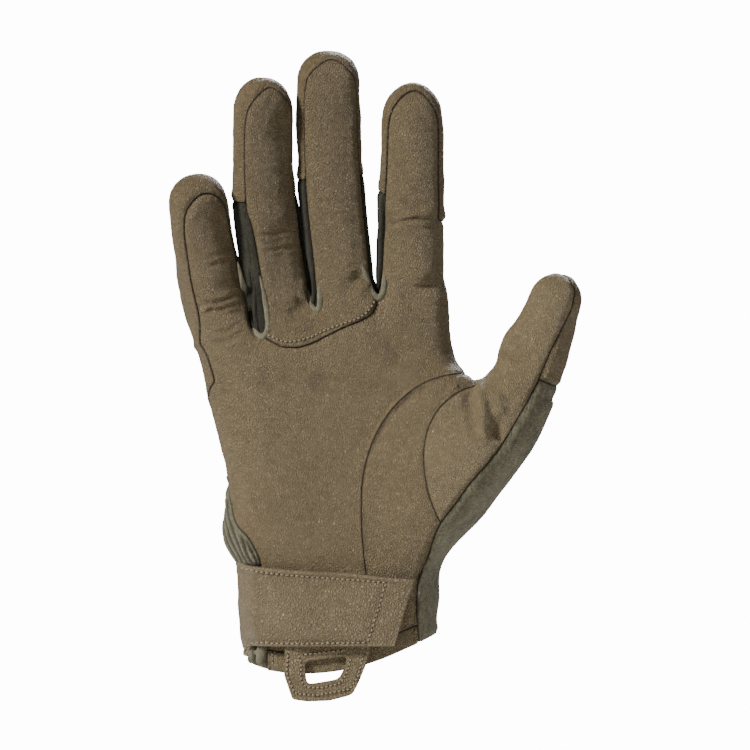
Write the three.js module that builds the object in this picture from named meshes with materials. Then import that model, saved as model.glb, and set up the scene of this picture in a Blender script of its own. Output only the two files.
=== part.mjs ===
// A right-hand work glove with a leather palm, a knitted back and a wrist strap, in the open shape of a worn hand.
// Millimetres. +X points to the thumb, -Y out of the palm, +Z to the fingertips. The origin is the middle of
// the wrist opening. One sheet of quads covers the hand, seams divide it into panels, and each panel is thickened.
import * as THREE from 'three';

// Driving dimensions
const PALM_LENGTH = 142;
const LITTLE_SIDE = 58.3;
const INDEX_SIDE = 41.8;
const THUMB_SIDE = 84;
const WEB_SIDE = 53;
const CUFF_WIDTH = 77.4;
const CUFF_DEPTH = 43;
const KNUCKLE_DEPTH = 25.5;
const THUMB_FORWARD = 10;
const HEM_SAG = 4.4;
const MOUND_HEIGHT = 6;
const FINGER_LENGTH = 97.7;
const FINGER_WIDTH = 25.4;
const FINGER_DEPTH = 22;
const PAD_ARCH = 14;
const WEB_RISE = 2.2;
const LEATHER = 1.4;
const KNIT = 1.6;
const SEAM_GAP = 0.35;
const STRAP_THICKNESS = 2.4;
const STRAP_BOTTOM = 3.5;
const STRAP_WIDTH = 27.2;
const STRAP_RISE = 6.4;
const STRAP_DROP = 4.5;
const STRAP_END = 27.5;
const STRAP_SLANT = 8.3;
const STRAP_SLACK = 1.2;
const PATCH_THICKNESS = 1.8;
const PATCH_HEIGHT = 18;
const PATCH_WIDTH = 32;
const PATCH_MARGIN = 3;
const PATCH_STANDOFF = 0.5;
const TAB_MARGIN = 2;
const LOOP_THICKNESS = 1.8;
const LOOP_WIDTH = 33.5;
const LOOP_DROP = 21;
const LOOP_CENTRE = -5;
const FIT = 0.35;
const PLEAT_PITCH = 6.4;
const PLEAT_HEIGHT = 1.1;

// Every finger: degrees of lean and roll towards the thumb. As shares of FINGER_LENGTH: its length from foot to
// tip, its curl out of the palm, its dome, the cap's reach down the back, how much further the cap reaches on
// the thumb's side, and the pad's distance from the tip. As shares of FINGER_WIDTH: shift and bow towards the
// thumb, and its width at the foot and at the dome. Its depth is a share of FINGER_DEPTH.
const FINGER_SHARES = [
  { name: 'little', length: 0.6673, lean: -10.2, roll: 22, shift: -0.055, bow: -0.091, curl: 0.154,
    width: 0.992, domeWidth: 0.89, depth: 0.955, dome: 0.123, cap: 0.368,
    capSlant: 0, inset: 0.049 },
  { name: 'ring', length: 0.9713, lean: -4.4, roll: 22, shift: -0.02, bow: -0.177, curl: 0.154,
    width: 0.984, domeWidth: 0.906, depth: 0.955, dome: 0.143, cap: 0.471,
    capSlant: 0, inset: 0.025 },
  { name: 'middle', length: 1, lean: -3.5, roll: 8, shift: -0.008, bow: -0.11, curl: 0.102,
    width: 1, domeWidth: 0.961, depth: 1, dome: 0.133, cap: 0.502,
    capSlant: 0, inset: 0.033 },
  { name: 'index', length: 0.8362, lean: 1.3, roll: 3, shift: 0.008, bow: 0.004, curl: 0.082,
    width: 1.039, domeWidth: 0.929, depth: 1, dome: 0.164, cap: 0.491,
    capSlant: 0.061, inset: 0.027 },
  { name: 'thumb', length: 0.5056, lean: 22.6, roll: -24, shift: 0.087, bow: 0.031, curl: 0.072,
    width: 1.142, domeWidth: 0.811, depth: 1.045, dome: 0.133, cap: 0.409,
    capSlant: 0, inset: 0 },
];
const IN_LENGTHS = ['length', 'curl', 'dome', 'cap', 'capSlant', 'inset'];
const IN_WIDTHS = ['shift', 'bow', 'width', 'domeWidth'];
const FINGERS = FINGER_SHARES.map((shares) => {
  const finger = { ...shares, depth: shares.depth * FINGER_DEPTH };
  for (const key of IN_LENGTHS) finger[key] *= FINGER_LENGTH;
  for (const key of IN_WIDTHS) finger[key] *= FINGER_WIDTH;
  return finger;
});
const THUMB = FINGERS.length - 1;

// Rows of the palm. left, fork and right are shares of the way from the cuff's half width, or its quarter for the
// fork, to the little finger's side, the thumb's web and the thumb's side. Above the thumb the row ends at the
// index finger's side, and edge is its share of INDEX_SIDE. leftUp, forkUp and rightUp are shares of PALM_LENGTH,
// sag of HEM_SAG and forward of THUMB_FORWARD. thin goes from the cuff's depth at 0 to the knuckles' at 1.
const ROWS_WITH_THUMB = [
  { left: -0.19, fork: 0, right: -0.03, leftUp: -0.03, forkUp: 0, rightUp: 0.054, sag: 1, thin: 0 },
  { left: -0.16, fork: 0.03, right: -0.03, leftUp: 0.027, forkUp: 0.058, rightUp: 0.106, sag: 1, thin: 0 },
  { left: -0.14, fork: 0.06, right: -0.02, leftUp: 0.09, forkUp: 0.105, rightUp: 0.148, sag: 0.5, thin: 0 },
  { left: -0.11, fork: 0.1, right: -0.02, leftUp: 0.162, forkUp: 0.168, rightUp: 0.194, sag: 0.2, thin: 0.02 },
  { left: -0.04, fork: 0.18, right: 0.01, leftUp: 0.24, forkUp: 0.242, rightUp: 0.248, thin: 0.08, forward: 0.1 },
  { left: 0.27, fork: 0.3, right: 0.15, leftUp: 0.318, forkUp: 0.324, rightUp: 0.31, thin: 0.18, forward: 0.35 },
  { left: 0.2, fork: 0.45, right: 0.34, leftUp: 0.402, forkUp: 0.408, rightUp: 0.377, thin: 0.28, forward: 0.55 },
  { left: 0.22, fork: 0.6, right: 0.54, leftUp: 0.494, forkUp: 0.493, rightUp: 0.458, thin: 0.38, forward: 0.75 },
  { left: 0.41, fork: 0.76, right: 0.735, leftUp: 0.586, forkUp: 0.577, rightUp: 0.542, thin: 0.48, forward: 0.9 },
  { left: 0.57, fork: 0.89, right: 0.89, leftUp: 0.67, forkUp: 0.669, rightUp: 0.62, thin: 0.58, forward: 1 },
  { left: 0.7, fork: 1, right: 1, leftUp: 0.74, forkUp: 0.743, rightUp: 0.694, thin: 0.68, forward: 1 },
];
const ROWS_ABOVE_THUMB = [
  { left: 0.81, edge: 1.055, leftUp: 0.79, forkUp: 0.803, thin: 0.8 },
  { left: 0.9, edge: 0.998, leftUp: 0.825, forkUp: 0.9, thin: 0.9 },
  { left: 0.98, edge: 1, leftUp: 0.845, forkUp: 1, thin: 1 },
];
const PALM_ROWS = [...ROWS_WITH_THUMB, ...ROWS_ABOVE_THUMB];
const THUMB_ROW = ROWS_WITH_THUMB.length - 1;
const KNUCKLE_ROW = PALM_ROWS.length - 1;
// The row where a ray parts from the next one, and the last row of a ray that still belongs to the palm
const forkRow = (i) => (i === THUMB - 1 ? THUMB_ROW : KNUCKLE_ROW);
const lastPalmRow = (i) => (i === THUMB ? THUMB_ROW : KNUCKLE_ROW);

// Where one finger's foot ends and the next begins, as a share across the palm, at the knuckles, and its share up
const FEET = [
  { across: 0, up: 0.845 },
  { across: 0.262, up: 0.879 },
  { across: 0.476, up: 0.953 },
  { across: 0.728, up: 0.997 },
  { across: 1, up: 1.0 },
];

// Rows of a finger: share of the way from its foot to the dome, and its width and depth as shares of the taper
const SHAFT_ROWS = [
  { along: 0.07, wide: 1.0, deep: 1.13 },
  { along: 0.18, wide: 1.0, deep: 1.07 },
  { along: 0.3, wide: 1.01, deep: 1.0 },
  { along: 0.42, wide: 1.02, deep: 1.0 },
  { along: 0.52, wide: 1.03, deep: 1.03 },
  { along: 0.62, wide: 1.01, deep: 0.98 },
  { along: 0.75, wide: 1.0, deep: 0.96 },
  { along: 0.88, wide: 1.0, deep: 0.95 },
  { along: 1.0, wide: 1.0, deep: 0.94 },
];
const DOME_ROWS = [0.34, 0.62, 0.83, 0.955];

// Degrees round a finger of its 16 columns, from the middle of the pad towards the thumb's side
const SLOTS = [-52, -31.2, -10.4, 10.4, 31.2, 52, 77.3, 102.7, 128, 148.8, 169.6, 190.4, 211.2, 232, 257.3, 282.7];
const PAD_ANGLE = 52;
const FRONT_END = SLOTS.indexOf(PAD_ANGLE);
const BACK_START = SLOTS.indexOf(128);
const BACK_END = SLOTS.indexOf(232);

// Mounds and hollows of the palm side: place and reach as shares of LITTLE_SIDE and PALM_LENGTH, and height as a
// share of MOUND_HEIGHT
const MOUNDS = [
  { name: 'thumb base', x: 0.82, z: 0.54, wide: 0.42, tall: 0.22, lean: 22, height: 1 },
  { name: 'little finger heel', x: -0.5, z: 0.36, wide: 0.3, tall: 0.2, lean: -8, height: 0.417 },
  { name: 'palm hollow', x: 0.02, z: 0.6, wide: 0.42, tall: 0.2, lean: 20, height: -0.583 },
  { name: 'finger roots', x: -0.2, z: 0.82, wide: 0.8, tall: 0.07, lean: 12, height: 0.267 },
  { name: 'fold beside the thumb', x: 1.0, z: 0.68, wide: 0.06, tall: 0.1, lean: 4, height: 0.3 },
  { name: 'hollow beside the fold', x: 1.12, z: 0.66, wide: 0.07, tall: 0.09, lean: 4, height: -0.3 },
  { name: 'dent under the index finger', x: 0.3, z: 0.86, wide: 0.1, tall: 0.05, lean: -30, height: -0.233 },
];

// Seams. The two arcs round the thumb's base are quarter ovals: centre, and reach to the left, up and down, as
// shares of THUMB_SIDE across and PALM_LENGTH up.
const OUTER_ARC = { x: 0.56, z: 0.424, left: 0.461, up: 0.348, down: 0.634 };
const INNER_ARC = { x: 0.667, z: 0.553, left: 0.281, up: 0.187, down: 0.268 };
// The edge of the leather along the thumb and wrist, as shares of PALM_LENGTH up and THUMB_SIDE across
const KNIT_EDGE = [
  { up: -0.1, x: 0.37 }, { up: 0.04, x: 0.367 }, { up: 0.13, x: 0.353 }, { up: 0.21, x: 0.36 },
  { up: 0.27, x: 0.407 }, { up: 0.33, x: 0.436 }, { up: 0.37, x: 0.469 }, { up: 0.42, x: 0.536 },
  { up: 0.48, x: 0.607 }, { up: 0.54, x: 0.7 }, { up: 0.59, x: 0.762 }, { up: 0.65, x: 0.819 },
  { up: 0.7, x: 0.871 }, { up: 0.76, x: 0.921 }, { up: 0.83, x: 0.97 }, { up: 0.89, x: 1.02 },
  { up: 0.95, x: 1.07 }, { up: 1.0, x: 1.087 }, { up: 1.03, x: 1.062 }, { up: 1.06, x: 1.02 },
];
// The edge of the knitted gusset at the little finger's side of the wrist, in the same shares
const GUSSET_EDGE = [
  { up: -0.1, x: -0.333 }, { up: 0.14, x: -0.345 }, { up: 0.26, x: -0.369 }, { up: 0.3, x: -0.4 },
  { up: 0.33, x: -0.424 }, { up: 0.36, x: -0.462 }, { up: 0.4, x: -0.5 }, { up: 0.5, x: -0.55 },
  { up: 0.9, x: -0.9 },
];
const GUSSET_TOP = 0.5;
// The scalloped lower edge of the panel under the middle and ring fingers, as shares across the knuckles and up
const SCALLOP = [
  { x: -0.62, up: 1.2 }, { x: -0.549, up: 0.879 }, { x: -0.5, up: 0.872 }, { x: -0.45, up: 0.858 },
  { x: -0.38, up: 0.845 }, { x: -0.28, up: 0.844 }, { x: -0.18, up: 0.856 }, { x: -0.09, up: 0.876 },
  { x: 0.02, up: 0.899 }, { x: 0.14, up: 0.918 }, { x: 0.218, up: 0.935 }, { x: 0.25, up: 0.965 },
  { x: 0.27, up: 1.3 },
];
const SIDE_STRIP_FOOT = 0.69;
const SIDE_STRIP_SLANT = 0.007;
// The pull loop's edge and slot: shares of LOOP_WIDTH from its middle and of LOOP_DROP down from the strap's edge
const LOOP_EDGE = [
  { x: -0.49, down: -0.16 }, { x: -0.49, down: 0.2 }, { x: -0.5, down: 0.48 }, { x: -0.455, down: 0.7 },
  { x: -0.4, down: 0.955 }, { x: -0.235, down: 0.995 }, { x: 0.035, down: 0.98 }, { x: 0.295, down: 0.87 },
  { x: 0.37, down: 0.64 }, { x: 0.45, down: 0.33 }, { x: 0.5, down: 0.04 }, { x: 0.5, down: -0.16 },
];
const SLOT_EDGE = [
  { x: -0.25, down: 0.26 }, { x: 0.235, down: 0.16 }, { x: 0.19, down: 0.42 }, { x: 0.13, down: 0.58 },
  { x: -0.18, down: 0.665 }, { x: -0.225, down: 0.65 }, { x: -0.24, down: 0.6 },
];
// Shares: of a row's depth drawn in at a crotch, of the way to the web where the thumb starts to come forward
const CROTCH_DENT = 0.32;
const THUMB_FORWARD_FROM = 0.35;
const MOUND_FADE = 1.4;
const FOOT_FORWARD = 0.9;
const FOOT_BACK = 0.3;
const CURL_POWER = 1.7;
const DOME_POWER = 2.2;
const ROLL_END = 0.22;
const EDGE_INSET = 0.27;
const SIDE_DEPTH = 0.25;
const SQUARENESS = 3.0;
const FINGER_SQUARENESS = 2.3;
// Shares of an edge: a cut closer to its end goes through the end. And the least a corner's trim is held to.
const SNAP = 0.11;
const SHARPEST_CORNER = 0.6;


const mix = (a, b, t) => a + (b - a) * t;
const smooth = (t) => THREE.MathUtils.smoothstep(t, 0, 1);
const last = (list) => list[list.length - 1];

// A straight-line table: the value of `of` at `at` along the column `by`
function look(table, by, of, at) {
  let k = 1;
  while (k < table.length - 1 && table[k][by] < at) k += 1;
  const a = table[k - 1];
  const b = table[k];
  return mix(a[of], b[of], THREE.MathUtils.clamp((at - a[by]) / (b[by] - a[by]), 0, 1));
}

// The extra height of the palm side at a place
function moundHeight(x, z) {
  let height = 0;
  for (const m of MOUNDS) {
    const turn = THREE.MathUtils.degToRad(m.lean);
    const dx = x - m.x * LITTLE_SIDE;
    const dz = z - m.z * PALM_LENGTH;
    const across = (dx * Math.cos(turn) - dz * Math.sin(turn)) / (m.wide * LITTLE_SIDE);
    const along = (dx * Math.sin(turn) + dz * Math.cos(turn)) / (m.tall * PALM_LENGTH);
    height += m.height * MOUND_HEIGHT * Math.exp(-across * across - along * along);
  }
  return height;
}

// One row of the palm in millimetres
function palmRow(r) {
  const row = PALM_ROWS[r];
  const half = CUFF_WIDTH / 2;
  const left = -mix(half, LITTLE_SIDE, row.left);
  const withThumb = r <= THUMB_ROW;
  const fork = withThumb ? mix(half / 2, WEB_SIDE, row.fork) : row.edge * INDEX_SIDE;
  const right = withThumb ? mix(half, THUMB_SIDE, row.right) : fork;
  return {
    left, fork, right, withThumb,
    forward: withThumb ? (row.forward ?? 0) * THUMB_FORWARD : 0,
    leftUp: row.leftUp * PALM_LENGTH,
    forkUp: row.forkUp * PALM_LENGTH,
    rightUp: (row.rightUp ?? row.forkUp) * PALM_LENGTH,
    depth: mix(CUFF_DEPTH, KNUCKLE_DEPTH, row.thin) / 2,
    sag: (row.sag ?? 0) * HEM_SAG,
  };
}

// The shares across the palm, from the little finger's edge to the fork, where the fingers' rays meet in a row
function rayEdges(r) {
  const grown = r / KNUCKLE_ROW;
  return FEET.map((foot, j) => mix(j / THUMB, foot.across, grown));
}

const rowCache = PALM_ROWS.map((_, r) => ({ ...palmRow(r), edges: rayEdges(r) }));

// The share of a row's depth that is left beside a crotch, where palm and back are drawn in towards it
function crotchDent(i, r, k) {
  const left = i > 0 && k <= 1;
  const right = i < THUMB && k >= FRONT_END - 1;
  if (!left && !right) return 1;
  const rowsBelow = forkRow(left ? i - 1 : i) - r;
  const dent = k === 0 || k === FRONT_END ? CROTCH_DENT : CROTCH_DENT / 4;
  if (rowsBelow === 0) return 1 - dent;
  return rowsBelow === 1 ? 1 - dent / 4 : 1;
}

// A point of the palm's tube: ray i, row r, slot of the ray's ring
function palmPoint(i, r, slot) {
  const row = rowCache[r];
  const front = slot <= FRONT_END;
  const back = slot >= BACK_START && slot <= BACK_END;
  const half = (row.right - row.left) / 2;
  const inset = EDGE_INSET * row.depth;
  const freeLeft = i === 0;
  const freeRight = i === THUMB || (i === THUMB - 1 && !row.withThumb);
  const start = i === THUMB ? row.fork : mix(row.left, row.fork, row.edges[i]);
  const end = i === THUMB ? row.right : mix(row.left, row.fork, row.edges[i + 1]);
  let x;
  let k = 0;
  if (front || back) {
    k = front ? slot : BACK_END - slot;
    x = mix(freeLeft ? start + inset : start, freeRight ? end - inset : end, k / FRONT_END);
  } else {
    const rightSide = slot > FRONT_END && slot < BACK_START;
    x = rightSide ? end : start;
  }
  // Height: straight from the left edge to the fork and on to the thumb's side, through the feet at the knuckles
  let z;
  if (i === THUMB) z = mix(row.forkUp, row.rightUp, (x - row.fork) / (row.right - row.fork));
  else {
    const share = (x - row.left) / (row.fork - row.left);
    const straight = mix(row.leftUp, row.forkUp, share);
    const feet = look(FEET, 'across', 'up', share) * PALM_LENGTH;
    const bend = THREE.MathUtils.clamp((r - THUMB_ROW) / (KNUCKLE_ROW - THUMB_ROW), 0, 1);
    z = mix(straight, feet, bend * bend) - row.sag * 4 * share * (1 - share);
  }
  const u = Math.min(Math.abs((x - row.left - half) / half), 1);
  const round = (1 - u ** SQUARENESS) ** (1 / SQUARENESS);
  const forwardFrom = row.fork * THUMB_FORWARD_FROM;
  const centre = -row.forward * smooth((x - forwardFrom) / (row.right - forwardFrom));
  const dent = front || back ? crotchDent(i, r, k) : 1;
  let y;
  if (front) y = centre - (row.depth * round + moundHeight(x, z) * Math.min(1, round * MOUND_FADE)) * dent;
  else if (back) y = centre + row.depth * round * dent;
  else {
    const nearFront = slot === FRONT_END + 1 || slot === SLOTS.length - 1;
    const atFork = (i > 0 && slot > BACK_END) || (slot < BACK_START && !freeRight);
    y = centre + (nearFront ? -1 : 1) * row.depth * SIDE_DEPTH;
    if (atFork && r === KNUCKLE_ROW) z += nearFront ? WEB_RISE * 0.6 : WEB_RISE;
  }
  return new THREE.Vector3(x, y, z);
}

// A finger's centre line, from its foot at 0 to its tip at 1
function spine(i, t) {
  const f = FINGERS[i];
  const lean = THREE.MathUtils.degToRad(f.lean);
  const row = rowCache[i === THUMB ? THUMB_ROW : KNUCKLE_ROW];
  const a = palmPoint(i, i === THUMB ? THUMB_ROW : KNUCKLE_ROW, 0);
  const b = palmPoint(i, i === THUMB ? THUMB_ROW : KNUCKLE_ROW, FRONT_END);
  const foot = a.clone().add(b).multiplyScalar(0.5);
  if (i === THUMB) foot.z = mix(row.forkUp, row.rightUp, 0.5);
  foot.y = i === THUMB ? -row.forward * FOOT_FORWARD : FOOT_BACK;
  const sideways = f.bow * 4 * t * (1 - t);
  return new THREE.Vector3(
    foot.x + f.shift + Math.sin(lean) * f.length * t + Math.cos(lean) * sideways,
    foot.y - f.curl * t ** CURL_POWER,
    foot.z + Math.cos(lean) * f.length * t - Math.sin(lean) * sideways,
  );
}

// The rings of a finger above its foot: where each lies along the finger and its half width and half depth
function fingerRings(i) {
  const f = FINGERS[i];
  const shaft = 1 - f.dome / f.length;
  const rings = SHAFT_ROWS.map((row) => ({
    t: row.along * shaft,
    wide: (mix(f.width, f.domeWidth, row.along) * row.wide) / 2,
    deep: (f.depth * row.deep) / 2,
  }));
  const top = last(rings);
  for (const rise of DOME_ROWS) {
    const share = (1 - rise ** DOME_POWER) ** (1 / DOME_POWER);
    rings.push({ t: shaft + (1 - shaft) * rise, wide: top.wide * share, deep: top.deep * share });
  }
  return rings;
}

function ringPoint(i, ring, angle) {
  const f = FINGERS[i];
  const centre = spine(i, ring.t);
  const along = spine(i, ring.t + 0.01).sub(spine(i, ring.t - 0.01)).normalize();
  const back = new THREE.Vector3(0, 1, 0).addScaledVector(along, -along.y).normalize();
  const side = new THREE.Vector3().crossVectors(back, along);
  const roll = THREE.MathUtils.degToRad(f.roll * smooth(ring.t / ROLL_END));
  const a = THREE.MathUtils.degToRad(angle) + roll;
  const local = THREE.MathUtils.degToRad(angle);
  const n = FINGER_SQUARENESS;
  const grow = (Math.abs(Math.sin(local)) ** n + Math.abs(Math.cos(local)) ** n) ** (-1 / n);
  const wide = ring.wide * Math.sin(local) * grow;
  const deep = ring.deep * Math.cos(local) * grow;
  const spin = a - local;
  return centre
    .addScaledVector(side, wide * Math.cos(spin) + deep * Math.sin(spin))
    .addScaledVector(back, wide * Math.sin(spin) - deep * Math.cos(spin));
}

// The sheet: shared vertices, each with its angle round the finger and distance from the tip, and labelled faces
const sheet = { vertices: [], faces: [] };
const known = new Map();
const FAR = 999;

// A ray's right-hand edge up to its fork is the next ray's left-hand edge
function sharedSlot(i, r, slot) {
  const onRight = slot >= FRONT_END && slot <= BACK_START;
  if (i < THUMB && r <= forkRow(i) && onRight) {
    return [i + 1, r, [0, 15, 14, 13][slot - FRONT_END]];
  }
  return [i, r, slot];
}

function corner(i, r, slot) {
  const [ray, row, place] = sharedSlot(i, r, slot);
  const key = `${ray}:${row}:${place}`;
  if (!known.has(key)) {
    const inPalm = row <= lastPalmRow(ray);
    const ring = inPalm ? null : fingerRings(ray)[row - lastPalmRow(ray) - 1];
    const angle = SLOTS[place] > 180 ? SLOTS[place] - 360 : SLOTS[place];
    known.set(key, sheet.vertices.length);
    sheet.vertices.push({
      point: inPalm ? palmPoint(ray, row, place) : ringPoint(ray, ring, SLOTS[place]),
      angle,
      tip: inPalm ? FAR : (1 - ring.t) * FINGERS[ray].length,
    });
  }
  return known.get(key);
}

function addQuad(a, b, c, d, label) {
  sheet.faces.push({ corners: [a, b, c], label }, { corners: [a, c, d], label });
}

// The first label of a column: which part of the hand it covers
function zoneOf(i, r, slot) {
  const inPalm = r < lastPalmRow(i);
  const passed = [FRONT_END, BACK_START, BACK_END].filter((end) => slot >= end).length;
  const part = ['front', 'right', 'back', 'left'][passed];
  if (inPalm && r === 0 && part === 'front') return 'hem';
  return inPalm ? `palm ${part} ${i}` : `${FINGERS[i].name} ${part}`;
}

for (let i = 0; i <= THUMB; i += 1) {
  const rows = lastPalmRow(i) + fingerRings(i).length;
  for (let r = 0; r < rows; r += 1) {
    for (let slot = 0; slot < SLOTS.length; slot += 1) {
      const next = (slot + 1) % SLOTS.length;
      const onRight = slot >= FRONT_END && slot < BACK_START;
      const onLeft = slot >= BACK_END;
      const hiddenRight = onRight && i < THUMB && r < forkRow(i);
      const hiddenLeft = onLeft && i > 0 && r < forkRow(i - 1);
      if (hiddenRight || hiddenLeft) continue;
      const low = [corner(i, r, slot), corner(i, r, next)];
      const high = [corner(i, r + 1, next), corner(i, r + 1, slot)];
      addQuad(...low, ...high, zoneOf(i, r, slot));
    }
  }
  const pole = sheet.vertices.length;
  sheet.vertices.push({ point: spine(i, 1), angle: 0, tip: 0 });
  for (let slot = 0; slot < SLOTS.length; slot += 1) {
    const next = (slot + 1) % SLOTS.length;
    const corners = [corner(i, rows, slot), corner(i, rows, next), pole];
    sheet.faces.push({ corners, label: zoneOf(i, rows, slot) });
  }
}

// Splits the faces that `applies` picks where `field` passes through zero, and renames those above zero.
// A neighbour that is not picked takes the new vertices on its edges, so that the sheet stays closed.
function split(applies, field, rename) {
  const picked = sheet.faces.map((face) => applies(face.label));
  const value = new Map();
  const edgesOf = (face) => face.corners.map((c, k) => [c, face.corners[(k + 1) % 3]]);
  const edgeKey = (a, b) => (a < b ? `${a}:${b}` : `${b}:${a}`);
  sheet.faces.forEach((face, n) => {
    const unknown = picked[n] ? face.corners.filter((c) => !value.has(c)) : [];
    for (const c of unknown) value.set(c, field(sheet.vertices[c]));
  });
  sheet.faces.forEach((face, n) => {
    if (!picked[n]) return;
    for (const [a, b] of edgesOf(face)) {
      const va = value.get(a);
      const vb = value.get(b);
      if (va * vb < 0) {
        const t = va / (va - vb);
        if (t < SNAP) value.set(a, 0);
        else if (t > 1 - SNAP) value.set(b, 0);
      }
    }
  });
  const cuts = new Map();
  sheet.faces.forEach((face, n) => {
    if (!picked[n]) return;
    for (const [a, b] of edgesOf(face)) {
      const key = edgeKey(a, b);
      const va = value.get(a);
      const vb = value.get(b);
      if (va * vb >= 0 || cuts.has(key)) continue;
      const t = va / (va - vb);
      const p = sheet.vertices[a];
      const q = sheet.vertices[b];
      cuts.set(key, sheet.vertices.length);
      sheet.vertices.push({
        point: p.point.clone().lerp(q.point, t),
        angle: mix(p.angle, q.angle, t),
        tip: mix(p.tip, q.tip, t),
      });
    }
  });
  const faces = [];
  const fan = (ring, label) => {
    for (let k = 1; k < ring.length - 1; k += 1) {
      faces.push({ corners: [ring[0], ring[k], ring[k + 1]], label });
    }
  };
  sheet.faces.forEach((face, n) => {
    const ring = [];
    for (const [a, b] of edgesOf(face)) {
      ring.push(a);
      const key = edgeKey(a, b);
      if (cuts.has(key)) ring.push(cuts.get(key));
    }
    if (!picked[n]) {
      if (ring.length === 3) faces.push(face);
      else {
        // Start the fan at a new vertex, so that no thin triangle lies along a cut edge
        const from = ring.findIndex((c) => !face.corners.includes(c));
        fan([...ring.slice(from), ...ring.slice(0, from)], face.label);
      }
      return;
    }
    const at = (c) => value.get(c) ?? 0;
    const above = ring.filter((c) => at(c) >= 0);
    const below = ring.filter((c) => at(c) <= 0);
    if (above.some((c) => at(c) > 0)) fan(above, rename(face.label));
    if (below.some((c) => at(c) < 0) || !above.some((c) => at(c) > 0)) fan(below, face.label);
  });
  sheet.faces = faces;
}

function relabel(test, name) {
  for (const face of sheet.faces) {
    if (test(face.label)) face.label = name;
  }
}

// Signed distance inside a quarter oval, open to the right of its centre and positive inside
function insideArc(arc) {
  return ({ point }) => {
    const dx = Math.min(0, point.x / THUMB_SIDE - arc.x) / arc.left;
    const up = point.z / PALM_LENGTH - arc.z;
    return (1 - Math.hypot(dx, up / (up > 0 ? arc.up : arc.down))) * arc.left * THUMB_SIDE;
  };
}

// Signed distance to the left of a line of points, in mm; the first and last stretches go on for ever
function leftOf(line, point) {
  let best = Infinity;
  let side = 0;
  for (let k = 1; k < line.length; k += 1) {
    const [ax, az] = line[k - 1];
    const ux = line[k][0] - ax;
    const uz = line[k][1] - az;
    const size = Math.hypot(ux, uz);
    const along = ((point.x - ax) * ux + (point.z - az) * uz) / (size * size);
    const t = THREE.MathUtils.clamp(along, k === 1 ? -Infinity : 0, k === line.length - 1 ? Infinity : 1);
    const gap = Math.hypot(point.x - ax - t * ux, point.z - az - t * uz);
    const cross = (ux * (point.z - az) - uz * (point.x - ax)) / size;
    if (gap < best - 1e-6 || (gap < best + 1e-6 && Math.abs(cross) > Math.abs(side))) {
      best = gap;
      side = cross;
    }
  }
  return Math.sign(side) * best;
}

const lineOf = (table, width) => table.map((row) => [row.x * width, row.up * PALM_LENGTH]);
const knitLine = lineOf(KNIT_EDGE, THUMB_SIDE);
const gussetLine = lineOf(GUSSET_EDGE, THUMB_SIDE);
const scallopLine = lineOf(SCALLOP, LITTLE_SIDE);
const beyondKnitEdge = ({ point }) => -leftOf(knitLine, point);
const beyondGussetEdge = ({ point }) => leftOf(gussetLine, point);
const aboveScallop = ({ point }) => leftOf(scallopLine, point);

// Fingertip caps: over the arched top of each pad, and down the sides and back
FINGERS.forEach((finger, i) => {
  const padTop = (angle) => finger.inset + PAD_ARCH * (1 - Math.sqrt(Math.max(0, 1 - (angle / PAD_ANGLE) ** 2)));
  if (i !== THUMB) {
    split((label) => label === `${finger.name} front`, (v) => padTop(v.angle) - v.tip, () => `cap_${finger.name}`);
  }
  const backs = i === THUMB ? ['right', 'back'] : ['left', 'right', 'back'];
  split(
    (label) => backs.some((part) => label === `${finger.name} ${part}`),
    (v) => finger.cap + finger.capSlant * Math.sin(THREE.MathUtils.degToRad(v.angle)) - v.tip,
    (label) => (i === THUMB && label.endsWith('right') ? 'thumb cap side' : `cap_${finger.name}`),
  );
});

// The strip down the little finger's outer side belongs to its cap
relabel((label) => label === 'little left', 'cap_little');
split(
  (label) => label === 'palm left 0',
  ({ point }) => point.z - (SIDE_STRIP_FOOT - SIDE_STRIP_SLANT * point.y) * PALM_LENGTH,
  () => 'cap_little',
);

// The thumb's leather, its cap and its knitted strip
relabel((label) => label === 'thumb left', 'thumb_panel');
split((label) => label === 'thumb front' || label === 'thumb cap side', beyondKnitEdge, () => 'cap_thumb');
relabel((label) => label === 'thumb front' || label === 'thumb cap side', 'thumb_panel');
split(
  (label) => label === 'cap_thumb',
  (v) => v.tip - FINGERS[THUMB].cap,
  () => 'thumb_knit',
);
const THUMB_BACK = ['thumb right', 'thumb back', `palm right ${THUMB}`, `palm back ${THUMB}`];
relabel((label) => THUMB_BACK.includes(label), 'thumb_knit');
const inFront = (label) => label.startsWith('palm front');
split((label) => inFront(label) || label === 'hem', beyondKnitEdge, () => 'thumb_knit');

// The gusset at the little finger's side of the wrist
const onLittleSide = (label) => label === 'low left' || label === 'palm left 0';
split((label) => inFront(label) || label === 'hem', beyondGussetEdge, () => 'low left');
split(onLittleSide, ({ point }) => GUSSET_TOP * PALM_LENGTH - point.z, () => 'wrist_gusset');
relabel(onLittleSide, 'palm_panel');

// The crescent round the thumb's base, which wraps over the web, and the thumb's own panel
const WEB_FRONT = `palm right ${THUMB - 1}`;
split((label) => inFront(label) || label === WEB_FRONT, insideArc(OUTER_ARC), () => 'thumb_crescent');
split((label) => label === 'thumb_crescent', insideArc(INNER_ARC), () => 'thumb_panel');
split(inFront, aboveScallop, () => 'finger_panel');

// What is left keeps the zone that it started in
const LEFTOVERS = {
  palm_panel: /^(palm|little|index) front/,
  finger_panel: /^(ring|middle) front/,
  fourchette_little_ring: /^(little right|ring left)/,
  fourchette_ring_middle: /^(ring right|middle left)/,
  fourchette_middle_index: /^(middle right|index left)/,
  back_panel: /^(palm|little|ring|middle|index) (back|right)/,
  hem_band: /^hem$/,
};
for (const [name, pattern] of Object.entries(LEFTOVERS)) relabel((label) => pattern.test(label), name);

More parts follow.
